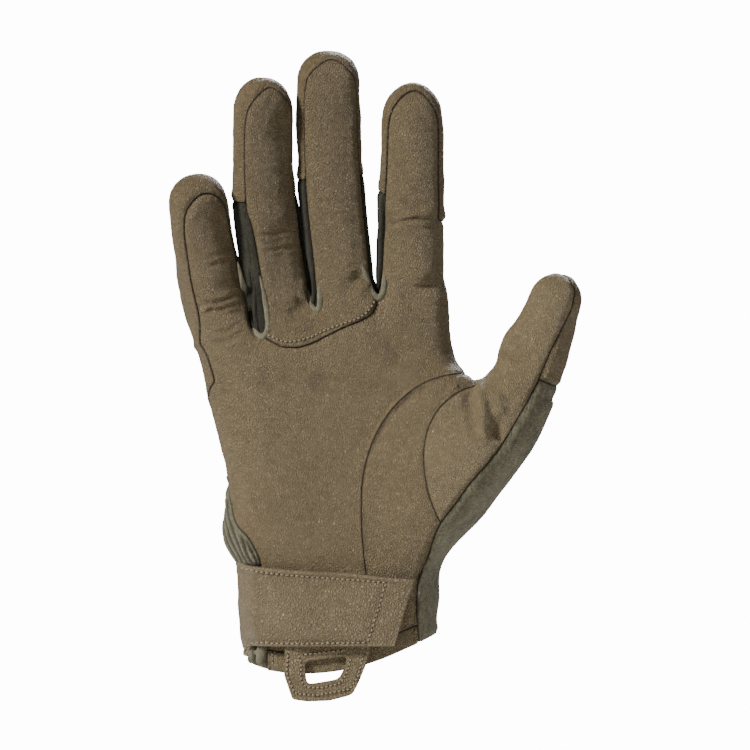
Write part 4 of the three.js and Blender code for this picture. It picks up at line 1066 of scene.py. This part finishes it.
# A near-black colour for the stitch holes: painted shade
HOLE_SHADE = thread("stitch_hole_shade", (0.02, 0.014, 0.008))

WEAVES = {"back_panel": (1, 0), "thumb_knit": (0.7, -0.7), "wrist_gusset": (0.75, -0.65)}


def add_weave(points, facts, across=(0, 1)):
    x, y, z = points.T
    facts["weave"] = np.stack([x * across[0] + y * across[1], z, 0 * x], 1)


PLEAT_PITCH = 3.6
PLEAT_FOOT = 33
PLEAT_SLANT = np.array((0.87, -0.5, 0.5))


def pleats(p, n, away):
    """Slanted rope-like gathers of the gusset above the strap, which presses the knit flat."""
    clear = smooth((p[:, 2] - PLEAT_FOOT) / 4)
    phase = (p @ PLEAT_SLANT + 1.2 * rough(p, 8)) * 2 * math.pi / PLEAT_PITCH
    wave = 0.5 + 0.5 * np.cos(phase)
    edge = smooth(away / 1.5)
    height = clear * (0.3 + 1.1 * edge * wave ** 0.6) - 0.9 * (1 - clear)
    # The second value paints shade into the troughs between the pleats and darkens the whole gusset a little
    return height, 1.5 * clear * edge * (wave - 0.72) - 0.2


CROTCHES = ((255, 312), (315, 300), (378, 288))


def hollow(p, n, away):
    """The knit between the fingers lies in the dark towards the crotch: it sinks, and painted shade darkens
    it.
    """
    dark = 0
    for px, py in CROTCHES:
        x, z = spot(px, py)
        dark = dark + np.exp(-((p[:, 0] - x) ** 2 + ((p[:, 2] - z) / 2.2) ** 2) / 30)
    return -0.4 * dark, -0.9 * dark


THUMB_LOOK = Look(roll=0.5, drop=0.35, swell=0.22, pucker=0.08)
CAP_LOOK = Look(roll=0.6, drop=0.45, pucker=0.08, lift=0.35)
FOURCHETTE_LOOK = Look(thickness=1.6, roll=0.7, drop=0.5, wrinkle=0.5, fine=1.0)
PANELS = {
    "palm_panel": (LEATHER, Look(roll=0.6, drop=0.45, swell=0.2, pucker=0.08, fine=1.15)),
    "finger_panel": (SHADED_FINGER_LEATHER, Look(roll=0.6, drop=0.5, swell=0.2, pucker=0.08, lift=0.5)),
    "thumb_crescent": (LEATHER, THUMB_LOOK),
    "thumb_panel": (LIT_THUMB_LEATHER, THUMB_LOOK),
    "hem_band": (LEATHER, Look(roll=0.8, drop=0.6, wrinkle=0.4)),
    "cap_little": (CAP_LEATHER, CAP_LOOK),
    "cap_ring": (CAP_LEATHER, CAP_LOOK),
    "cap_middle": (CAP_LEATHER, CAP_LOOK),
    "cap_index": (CAP_LEATHER, CAP_LOOK),
    "cap_thumb": (CAP_LEATHER, Look(roll=0.6, drop=0.45, pucker=0.08, lift=0.1)),
    "back_panel": (KNIT, Look(thickness=1.6, roll=0.8, drop=0.6, wrinkle=0.6, fine=1.7)),
    "thumb_knit": (KNIT, Look(thickness=1.6, roll=0.8, drop=0.6, wrinkle=0.6, fine=1.0)),
    "fourchette_little_ring": (SHADED_FOURCHETTE_KNIT, FOURCHETTE_LOOK),
    "fourchette_ring_middle": (SHADED_FOURCHETTE_KNIT, FOURCHETTE_LOOK),
    "fourchette_middle_index": (SHADED_FOURCHETTE_KNIT, FOURCHETTE_LOOK),
    "wrist_gusset": (RIM_KNIT, Look(thickness=1.6, roll=0.8, drop=0.6, wrinkle=0.4, fine=0.8)),
}

sheet, names = make_panels()
tops = {}
for panel_name, (material, look) in PANELS.items():
    patch = sheet.patch(names.index(panel_name))
    extra = hollow if panel_name.startswith("fourchette") else None
    if panel_name == "wrist_gusset":
        extra = pleats
    points, triangles, facts = solid(patch, look, extra)
    add_weave(points, facts, WEAVES.get(panel_name, (0, 1)))
    finish_mesh("glove_" + panel_name, points, triangles, facts, material, [panel_name])
    tops[panel_name] = points, triangles


class Ground:
    """A surface that things are laid on: rays meet it, and its triangles give the direction outwards."""

    def __init__(self, points, triangles):
        self.tree = BVHTree.FromPolygons(np.asarray(points).tolist(), np.asarray(triangles).tolist())

    def front(self, x, z, side=-1):
        """The place and its outward direction at X and Z, on the palm side or, with a side of 1, the back."""
        hit, normal, _, _ = self.tree.ray_cast(Vector((x, side * 90, z)), Vector((0, -side, 0)))
        if hit is None:
            hit, normal, _, _ = self.tree.find_nearest(Vector((x, side * 20, z)))
        normal = np.array(normal)
        return np.array(hit), normal if normal[1] * side > 0 else -normal


SKIN = Ground(sheet.points, sheet.triangles)


def grid_faces(rows, columns, start=0, flip=False):
    a = (np.arange(rows - 1)[:, None] * columns + np.arange(columns - 1)).ravel() + start
    quads = np.stack([a, a + 1, a + columns + 1, a + columns], 1)
    return quads[:, ::-1] if flip else quads


def slab(outer, inner):
    """A closed solid between two grids of points with the same shape."""
    rows, columns = outer.shape[:2]
    count = rows * columns
    faces = [grid_faces(rows, columns), grid_faces(rows, columns, count, True)]
    index = np.arange(count).reshape(rows, columns)
    border = np.concatenate([index[0, :-1], index[:-1, -1], index[-1, :0:-1], index[:0:-1, 0]])
    ahead = np.roll(border, -1)
    faces.append(np.stack([ahead, border, border + count, ahead + count], 1))
    return np.concatenate([outer.reshape(-1, 3), inner.reshape(-1, 3)]), np.concatenate(faces)


def grid_normals(points):
    along = np.gradient(points, axis=0)
    up = np.gradient(points, axis=1)
    return unit(np.cross(up, along))


def edge_steps(size, middle):
    """Places from 0 to size, close together near both ends."""
    near = np.array((0, 0.08, 0.22, 0.42, 0.7, 1.0, 1.35, 1.7, 2.05, 2.4, 2.9, 3.5))
    inside = np.linspace(4.2, size - 4.2, max(3, int((size - 8.4) / middle)))
    return np.concatenate([near, inside, size - near[::-1]])


def laid(stations):
    """Where each station's rays meet the hand. Below the wrist's edge a band runs straight on down."""
    rows = []
    for row in stations:
        places = []
        for origin, direction, z in row:
            hit = SKIN.tree.ray_cast(Vector(origin), Vector(direction))[0]
            places.append(None if hit is None else np.array((hit[0], hit[1], z)))
        first = next(q for q in places if q is not None)
        for k, (_, _, z) in enumerate(row):
            if places[k] is None:
                places[k] = np.array((first[0], first[1], z))
        rows.append(places)
    base = np.array(rows)
    for _ in range(4):
        base[1:-1] = (base[:-2] + 2 * base[1:-1] + base[2:]) / 4
    return base


def wrapped(stations, lifts, thickness, profile):
    """A band laid round the wrist. A station gives, for each height, a ray's start, direction and Z."""
    base = laid(stations)
    normals = grid_normals(base)
    for _ in range(8):
        normals[1:-1] = (normals[:-2] + 2 * normals[1:-1] + normals[2:]) / 4
        normals = unit(normals)
    inner = base + normals * lifts[:, None, None]
    return inner + normals * (thickness[:, None] + profile(base))[..., None], inner


# The strap. Its top edge rises and its foot drops towards the little finger's side.
STRAP_TOP = ((-60, 36.9), (-40.3, 36.6), (-34.9, 35.4), (-24.8, 34.4), (-9.8, 33), (5.1, 32.1), (17, 30.9),
             (28, 30.6))
STRAP_FOOT = ((-60, -0.9), (-38.6, -0.7), (-34.2, 4.0), (28, 4.1))
STRAP_TAB = (20.3, 27.4)
STRAP_SEAM = (10.2, 18.1)
STRAP_REACH = 47
STRAP_FLARE = 33.5
STRAP_BACK_END = 26.0
STRAP_BACK = ((-60, -0.9, 36.9), (-20, -0.9, 36.9), (26, 6.2, 35.2))
TURN_X = -20.0


def strap():
    """The wrist strap, from its end on the back round the little finger's side to the slanted tab."""
    heights = edge_steps(STRAP_WIDTH + 2, 0.9)
    shares = heights / heights[-1]
    stations, lifts, walls, edge = [], [], [], []

    def station(place_at, foot, top, lift, wall, end_gap):
        stations.append([place_at(mix(foot, top, share), share) for share in shares])
        lifts.append(lift)
        walls.append(wall)
        edge.append(end_gap)

    for gap in edge_steps(STRAP_REACH, 0.9)[:-6]:
        def on_front(z, share, t=gap / STRAP_REACH):
            x = mix(mix(*STRAP_TAB, share), TURN_X, t)
            return (x, 0, z), (0, -1, 0), z

        x = mix(STRAP_TAB[1], TURN_X, gap / STRAP_REACH)
        station(on_front, np.interp(x, *zip(*STRAP_FOOT)), np.interp(x, *zip(*STRAP_TOP)),
                mix(3.7, 3.0, gap / STRAP_REACH), STRAP_THICKNESS, gap)
    for angle in np.arange(3, 178, 1.6):
        turn = rad(angle)

        def round_side(z, share, turn=turn):
            return (TURN_X, 0, min(z, STRAP_FLARE)), (-math.sin(turn), -math.cos(turn), 0), z

        x = TURN_X - 20.5 * math.sin(turn) if angle < 90 else -60
        settle = float(smooth(angle / 80))
        station(round_side, np.interp(x, *zip(*STRAP_FOOT)), np.interp(x, *zip(*STRAP_TOP)),
                mix(3.0, 0.25, settle), mix(STRAP_THICKNESS, 1.8, settle), STRAP_REACH / 2)
    back_end = STRAP_BACK_END - edge_steps(12, 1)[11::-1]
    for x in np.append(np.arange(TURN_X + 0.6, back_end[0] - 0.4, 0.9), back_end):
        foot, top = (np.interp(x, [q[0] for q in STRAP_BACK], [q[k] for q in STRAP_BACK]) for k in (1, 2))
        station(lambda z, share, x=x: ((x, 0, z), (0, 1, 0), z), foot, top, 0.5, 1.8, STRAP_BACK_END - x)
    size = heights[-1]
    up = np.minimum(heights, size - heights)[None, :] * np.ones((len(edge), 1))
    side = np.array(edge)[:, None] * np.ones((1, len(heights)))
    gap = np.minimum(up, side)

    def profile(base):
        rolled = np.where(gap < 0.9, -(0.9 - np.sqrt(np.maximum(0, 0.81 - (0.9 - gap) ** 2))), 0)
        seam_x = mix(*STRAP_SEAM, shares)[None, :]
        front = base[..., 1] < 0
        tab_seam = np.where(front & (side < 15), np.abs(base[..., 0] - seam_x), 9)
        rows = (base[..., 0] < seam_x + 0.5) | ~front
        groove = -0.35 * np.exp(-((up - 2.1) / 0.5) ** 2) * rows - 0.35 * np.exp(-(tab_seam / 0.5) ** 2)
        groove -= 0.3 * np.exp(-((side - 2.6) / 0.5) ** 2) * ~front
        puff = 0.6 * smooth((up - 2.2) / 5) * smooth((seam_x - base[..., 0]) / 5)
        flat = base.reshape(-1, 3)
        uneven = (0.4 * rough(flat, 9) + 0.15 * rough(flat + 5, 3.5)).reshape(gap.shape)
        return rolled + groove + puff + uneven * smooth(gap / 1.5)

    outer, inner = wrapped(stations, np.array(lifts), np.array(walls), profile)
    points, faces = slab(outer, inner)
    # The seam fact darkens the strap's very edge, and its whole inner side with painted shade
    seam = np.concatenate([np.exp(-(gap / 0.25) ** 2).ravel() * 0.5, np.ones(gap.size)])
    # Paler along the rolled edge, with painted shade in the stitch groove and on the inner side
    pale_rim_and_groove_shade = 0.5 * np.exp(-((gap - 0.6) / 0.6) ** 2) - 0.35 * np.exp(-((gap - 2.1) / 0.7) ** 2)
    tone_and_shade = np.concatenate([pale_rim_and_groove_shade.ravel(), np.full(gap.size, -0.3)])
    finish_mesh("wrist_strap_leather", points, faces, {"seam": seam, "tone_and_shade": tone_and_shade}, STRAP_LEATHER,
                ["wrist_strap"])
    return Ground(points, faces)


STRAP = strap()


def closure():
    heights = np.linspace(0, 1, 12)
    places = np.linspace(17.2, -14.8, 22)
    stations = [[((x, 0, mix(9.8, 27.7, h)), (0, -1, 0), mix(9.8, 27.7, h)) for h in heights] for x in places]
    every = np.ones(len(places))
    outer, inner = wrapped(stations, 0.5 * every, 1.8 * every, lambda base: 0.1 * rough(
        base.reshape(-1, 3), 1.5).reshape(base.shape[:2]))
    points, faces = slab(outer, inner)
    facts = {"seam": np.zeros(len(points)), "tone_and_shade": np.zeros(len(points))}
    add_weave(points, facts, (1, 0))
    finish_mesh("closure_hook_tape", points, faces, facts, HOOK, ["closure_patch"])


closure()


def polygon_inside(table):
    """Signed distance inside the pull loop's outline or slot."""
    line = [(LOOP_CENTRE + x * LOOP_WIDTH, STRAP_BOTTOM - down * LOOP_DROP) for x, down in table]
    line.append(line[0])

    def field(p, f):
        gap, _ = line_distance(line, p[:, 0], p[:, 2])
        inside = np.zeros(len(p), bool)
        for (ax, az), (bx, bz) in zip(line, line[1:]):
            if az != bz:
                crossing = (az > p[:, 2]) != (bz > p[:, 2])
                inside ^= crossing & (p[:, 0] < ax + (p[:, 2] - az) * (bx - ax) / (bz - az))
        return np.where(inside, gap, -gap)

    return field


def pull_loop():
    xs, zs = np.arange(-24, 14, 1.0), np.arange(-20, 9, 1.0)
    flat = np.array([(x, -23.66, z) for z in zs for x in xs])
    quads = grid_faces(len(zs), len(xs))
    triangles = np.concatenate([quads[:, [0, 1, 2]], quads[:, [0, 2, 3]]])
    made = Sheet(flat, np.tile((0.0, -1.0, 0.0), (len(flat), 1)), np.zeros((len(flat), 1)), triangles,
                 np.zeros(len(triangles), int))
    made.split(made.labels == 0, polygon_inside(LOOP_EDGE), 1)
    made.split(made.labels == 1, polygon_inside(SLOT_EDGE), 2)
    patch = made.patch(1)

    def bead(p, n, away):
        height = -0.22 * np.exp(-((away - 1.7) / 0.45) ** 2) + 0.12 * rough(p, 5)
        return height, 0.4 * np.exp(-((away - 0.6) / 0.6) ** 2)

    look = Look(thickness=LOOP_THICKNESS, roll=0.6, drop=0.55, swell=0.1, pucker=0.05, gap=0, wrinkle=0.5,
                fine=0.7)
    points, faces, facts = solid(patch, look, bead)
    # Less painted shade at the loop's rim and inner side
    facts["seam"] = facts["seam"] * 0.3
    finish_mesh("pull_loop_leather", points, faces, facts, STRAP_LEATHER, ["pull_loop"])
    return Ground(points, faces)


LOOP = pull_loop()


def tube(path, radius, sides=12):
    """A closed tube with rounded ends. The radius is a number for each point of the path."""
    path = np.asarray(path, float)
    along = unit(np.gradient(path, axis=0))
    side = unit(np.cross(along, np.array((0.0, 1.0, 0.0))))
    other = np.cross(side, along)
    angles = np.linspace(0, 2 * math.pi, sides, endpoint=False)
    ring = np.cos(angles)[None, :, None] * side[:, None] + np.sin(angles)[None, :, None] * other[:, None]
    points = (path[:, None] + ring * np.asarray(radius)[:, None, None]).reshape(-1, 3)
    count = len(path)
    a = (np.arange(count - 1)[:, None] * sides + np.arange(sides)).ravel()
    b = (np.arange(count - 1)[:, None] * sides + (np.arange(sides) + 1) % sides).ravel()
    faces = np.stack([a, b, b + sides, a + sides], 1).tolist()
    faces.append(list(range(sides))[::-1])
    faces.append(list(range((count - 1) * sides, count * sides)))
    return points, faces


def joined(parts):
    points, faces, start = [], [], 0
    for part_points, part_faces in parts:
        points.append(part_points)
        faces += [[k + start for k in f] for f in part_faces]
        start += len(part_points)
    return np.concatenate(points), faces


def resample(path, step):
    path = np.asarray(path, float)
    sizes = np.linalg.norm(np.diff(path, axis=0), axis=1)
    where = np.concatenate([[0], np.cumsum(sizes)])
    places = np.linspace(0, where[-1], max(2, int(round(where[-1] / step)) + 1))
    return np.stack([np.interp(places, where, path[:, k]) for k in range(path.shape[1])], 1)


def rounded_line(path, step, rounds=6):
    path = resample(path, step)
    for _ in range(rounds):
        path[1:-1] = (path[:-2] + 2 * path[1:-1] + path[2:]) / 4
    return path


def plain_facts(points, seam=0.0, tone_and_shade=0.0, across=(1, 0)):
    facts = {"seam": np.full(len(points), seam), "tone_and_shade": np.full(len(points), tone_and_shade)}
    add_weave(points, facts, across)
    return facts


cage = Cage()
cage_points = np.array(cage.points)


# Rolled knit edges round the crotches, on the palm side
CROTCH_RIMS = (
    ((238, 262), (243, 285), (248.4, 303.5), (252.3, 323.6), (256.5, 334), (262, 338), (267, 334.5),
     (268.5, 326), (267.4, 312), (264, 292), (260, 276)),
    ((306.5, 288), (309.5, 300), (312, 308), (316, 312), (320, 308), (320.8, 301), (319, 284)),
    ((361, 262), (367, 280), (372, 293), (378, 299), (383.5, 294), (384.5, 284), (384, 272)),
)


def crotch_rim(line):
    """The rolled knit edge that runs down one finger's seam, round the crotch and up the next finger's."""
    flat = rounded_line([spot(*q) for q in line], 0.5, 4)
    found = [SKIN.front(x, z) for x, z in flat]
    path = np.array([(x, place[1] - 0.35, z) for (x, z), (place, _) in zip(flat, found)])
    for _ in range(12):
        path[1:-1, 1] = (path[:-2, 1] + 2 * path[1:-1, 1] + path[2:, 1]) / 4
    t = np.linspace(0, 1, len(path))
    radius = 1.25 * np.minimum(1, np.sqrt(np.maximum(0.02, np.minimum(t, 1 - t) * 5)))
    return tube(path, radius * (1 + 0.14 * rough(path, 2.5)))


def finger_edge(i):
    """The fourchette knit's own edge, which fills the gap between two fingers, near-black with painted shade.
    """
    left = [cage.corner(i, r, FRONT_END) for r in range(KNUCKLE_ROW + 6, KNUCKLE_ROW, -1)]
    right = [cage.corner(i + 1, r, 0) for r in range(KNUCKLE_ROW + 1, KNUCKLE_ROW + 7)]
    path = cage_points[left + [cage.corner(i + 1, KNUCKLE_ROW, 0)] + right]
    middle = len(left)
    path[:middle, 0] += 0.75
    path[middle + 1:, 0] -= 0.75
    path[middle, 2] += 0.75
    path = rounded_line(path + np.array((0, 1.3, 0)), 0.5, 10)
    t = np.linspace(0, 1, len(path))
    return tube(path, 1.1 * np.minimum(1, np.sqrt(np.maximum(0.02, np.minimum(t, 1 - t) * 12))))


for i, line in enumerate(CROTCH_RIMS):
    pair = f"{NAMES[i]}_{NAMES[i + 1]}"
    points, faces = crotch_rim(line)
    finish_mesh("crotch_rim_" + pair, points, faces, plain_facts(points), RIM_KNIT)
    points, faces = finger_edge(i)
    # Painted shade: the edge is near-black and darkened further by its tone fact
    finish_mesh("fourchette_edge_" + pair, points, faces, plain_facts(points, tone_and_shade=-0.2), SHADED_FOURCHETTE_KNIT)


# The lower ends of the rolls of knit below the strap, and their radii
GATHERS = ((246.5, 661.5, 1.5), (252.8, 667.2, 1.95), (262.0, 667.6, 2.1))


def gathers():
    """The rolls of knit that show below the strap at the little finger's side."""
    parts = []
    for px, py, wide in GATHERS:
        x, foot_z = spot(px, py)
        path = []
        for z in np.linspace(6, foot_z + wide * 0.8, 24):
            place, normal = SKIN.front(x + 0.25 * math.sin(z * 0.5), z)
            path.append(place + np.array((0, -1.1, 0)) + np.array((0, 0.5, 0)) * smooth((foot_z + 3 - z) / 3))
        path = np.array(path)
        t = np.linspace(0, 1, len(path))
        end = np.sqrt(np.maximum(0.01, 1 - np.maximum(0, (t - 0.86) / 0.145) ** 2))
        radius = wide * end * (1 + 0.06 * rough(path, 3))
        parts.append(tube(path, radius, 16))
    points, faces = joined(parts)
    finish_mesh("wrist_gathers", points, faces, plain_facts(points), RIM_KNIT)


gathers()


# Stitch rows: ground, distance between stitches, and the places that the row runs through
FINGER_TOP = Ground(*tops["finger_panel"])
HEM_TOP = Ground(*tops["hem_band"])
STITCH_ROWS = (
    (STRAP, 2.0, (240, 567.2), (261, 570.5), (307, 575.3), (353, 578.7), (386, 581)),
    (STRAP, 2.0, (386, 581), (382.2, 593), (376.5, 613), (370, 633), (367.2, 640)),
    (STRAP, 2.0, (366, 640.6), (330, 641.2), (290, 641.6), (253, 641.4), (248, 646), (244, 651)),
    (LOOP, 1.7, (288.5, 652), (287.6, 672), (291, 682), (295.5, 691.5), (318, 693), (350, 687), (358, 675),
     (363, 655)),
    (LOOP, 1.7, (299, 652.5), (301.5, 660), (301, 676), (304, 684.5), (322, 686), (341, 681.5), (347.5, 670),
     (351, 656)),
    (LOOP, 1.7, (304, 652.8), (322, 650.5), (345, 648)),
    (FINGER_TOP, 1.75, (267, 334.5), (275, 338.5), (284, 342), (297, 341.2), (312, 337), (325, 330.5),
     (341, 324.5), (356, 319.5), (366, 313.5), (372.5, 305), (376.2, 296)),
    (HEM_TOP, 1.9, (273, 651), (273.4, 664)),
)
# Rows on the back, by X and Z in millimetres
BACK_ROWS = (
    (STRAP, 1.9, (-34, 34.8), (-20, 34.8), (2, 34), (23.4, 33.2), (23.4, 20), (23.4, 8), (2, 4.6), (-20, 1.2),
     (-34, 1.2)),
)


def stitch(ground, start, end, side):
    """One raised stitch that dives into the leather at both ends."""
    path = []
    for t, rise in ((0, 0.0), (0.2, 0.2), (0.5, 0.3), (0.8, 0.2), (1, 0.0)):
        place, normal = ground.front(mix(start[0], end[0], t), mix(start[1], end[1], t), side)
        path.append(place + normal * rise)
    return tube(path, (0.12, 0.24, 0.3, 0.24, 0.12), 7)


def hole(ground, x, z, side):
    """The prick between two stitches: a small plug, near-black with painted shade."""
    place, normal = ground.front(x, z, side)
    across = unit(np.cross(normal, (0.0, 0.0, 1.0)))
    up = np.cross(across, normal)
    angles = np.linspace(0, 2 * math.pi, 8, endpoint=False)
    ring = [place + normal * 0.07 + 0.28 * (math.cos(a) * across + math.sin(a) * up) for a in angles]
    low = [place - normal * 0.25 + 0.2 * (math.cos(a) * across + math.sin(a) * up) for a in angles]
    faces = [list(range(8)), list(range(15, 7, -1))]
    faces += [[(k + 1) % 8, k, k + 8, (k + 1) % 8 + 8] for k in range(8)]
    return np.array(ring + low), faces


def stitches():
    threads, holes = [], []
    rows = [(-1, ground, pitch, [spot(*q) for q in line]) for ground, pitch, *line in STITCH_ROWS]
    rows += [(1, ground, pitch, line) for ground, pitch, *line in BACK_ROWS]
    for side, ground, pitch, line in rows:
        line = resample(rounded_line(line, pitch / 4, 2), pitch)
        for a, b in zip(line, line[1:]):
            threads.append(stitch(ground, mix(a, b, 0.22), mix(a, b, 0.82), side))
            holes.append(hole(ground, *mix(a, b, 0.02), side))
    for name, parts, material in (("stitch_threads", threads, THREAD), ("stitch_hole_shades", holes, HOLE_SHADE)):
        points, faces = joined(parts)
        finish_mesh(name, points, faces, plain_facts(points), material)


stitches()

# Camera: level, straight at the palm side, at the photograph's scale
IMAGE = 750
LENS = 250.0
SENSOR = 36.0
view_width = IMAGE * PX
distance = view_width * LENS / SENSOR
camera = bpy.data.cameras.new("camera")
camera.lens = LENS
camera.sensor_width = SENSOR
camera.clip_end = 20
camera_object = bpy.data.objects.new("camera", camera)
bpy.context.scene.collection.objects.link(camera_object)
centre_x, centre_z = spot(IMAGE / 2, IMAGE / 2)
camera_object.location = Vector((centre_x, -10 - distance, centre_z)) * MM
camera_object.rotation_euler = (math.pi / 2, 0, 0)
bpy.context.scene.camera = camera_object


# Lamps: name, place, target, size in metres and power in watts
LAMPS = (
    ("key", (-1.4, -0.95, 1.2), (0, 0, 0.11), 0.4, 79),
    ("fill", (0.4, -1.7, 0.0), (0, 0, 0.1), 0.8, 1.2),
    ("low", (0.75, -0.55, 0.02), (0.03, 0, 0.02), 0.3, 1.5),
    ("rim", (1.3, 0.35, 0.5), (0, 0, 0.12), 0.5, 3),
    ("back", (0.3, 1.3, 0.9), (0, 0, 0.12), 0.6, 15),
)


def lamp(name, place, target, size, power):
    light = bpy.data.lights.new(name, "AREA")
    light.shape = "DISK"
    light.size = size
    light.energy = power
    lamp_object = bpy.data.objects.new(name, light)
    lamp_object.location = place
    lamp_object.rotation_euler = (Vector(target) - Vector(place)).to_track_quat("-Z", "Y").to_euler()
    bpy.context.scene.collection.objects.link(lamp_object)


for row in LAMPS:
    lamp(*row)

# The studio: weak light from all round, before a white backdrop
AMBIENT, BACKDROP = 0.1, 14.0
world = bpy.data.worlds.new("studio")
world.use_nodes = True
tree = world.node_tree
tree.nodes.clear()
backgrounds = []
for strength in (AMBIENT, BACKDROP):
    background = tree.nodes.new("ShaderNodeBackground")
    background.inputs[0].default_value = (1, 1, 1, 1)
    background.inputs[1].default_value = strength
    backgrounds.append(background)
choice = tree.nodes.new("ShaderNodeMixShader")
tree.links.new(tree.nodes.new("ShaderNodeLightPath").outputs["Is Camera Ray"], choice.inputs[0])
tree.links.new(backgrounds[0].outputs[0], choice.inputs[1])
tree.links.new(backgrounds[1].outputs[0], choice.inputs[2])
tree.links.new(choice.outputs[0], tree.nodes.new("ShaderNodeOutputWorld").inputs[0])
bpy.context.scene.world = world

FLOOR_RADIUS, FLOOR_HEIGHT, FLOOR_SIDES = 0.6, -0.085, 96
floor_mesh = bpy.data.meshes.new("floor")
floor_angles = np.linspace(0, 2 * math.pi, FLOOR_SIDES, endpoint=False)
ring = [(FLOOR_RADIUS * math.cos(a), FLOOR_RADIUS * math.sin(a), FLOOR_HEIGHT) for a in floor_angles]
floor_mesh.from_pydata(ring, [], [list(range(FLOOR_SIDES))])
floor = bpy.data.objects.new("floor", floor_mesh)
bpy.context.scene.collection.objects.link(floor)
floor_look = Nodes("floor")
floor_mesh.materials.append(floor_look.end(floor_look.blend(
    floor_look.noise(floor_look.add("TexCoord", out=3), 6), (0.9, 0.9, 0.89, 1), (0.94, 0.94, 0.93, 1)), 0.8,
    floor_look.bump(floor_look.noise(floor_look.add("TexCoord", out=3), 300), 0.0002, 0.2)))
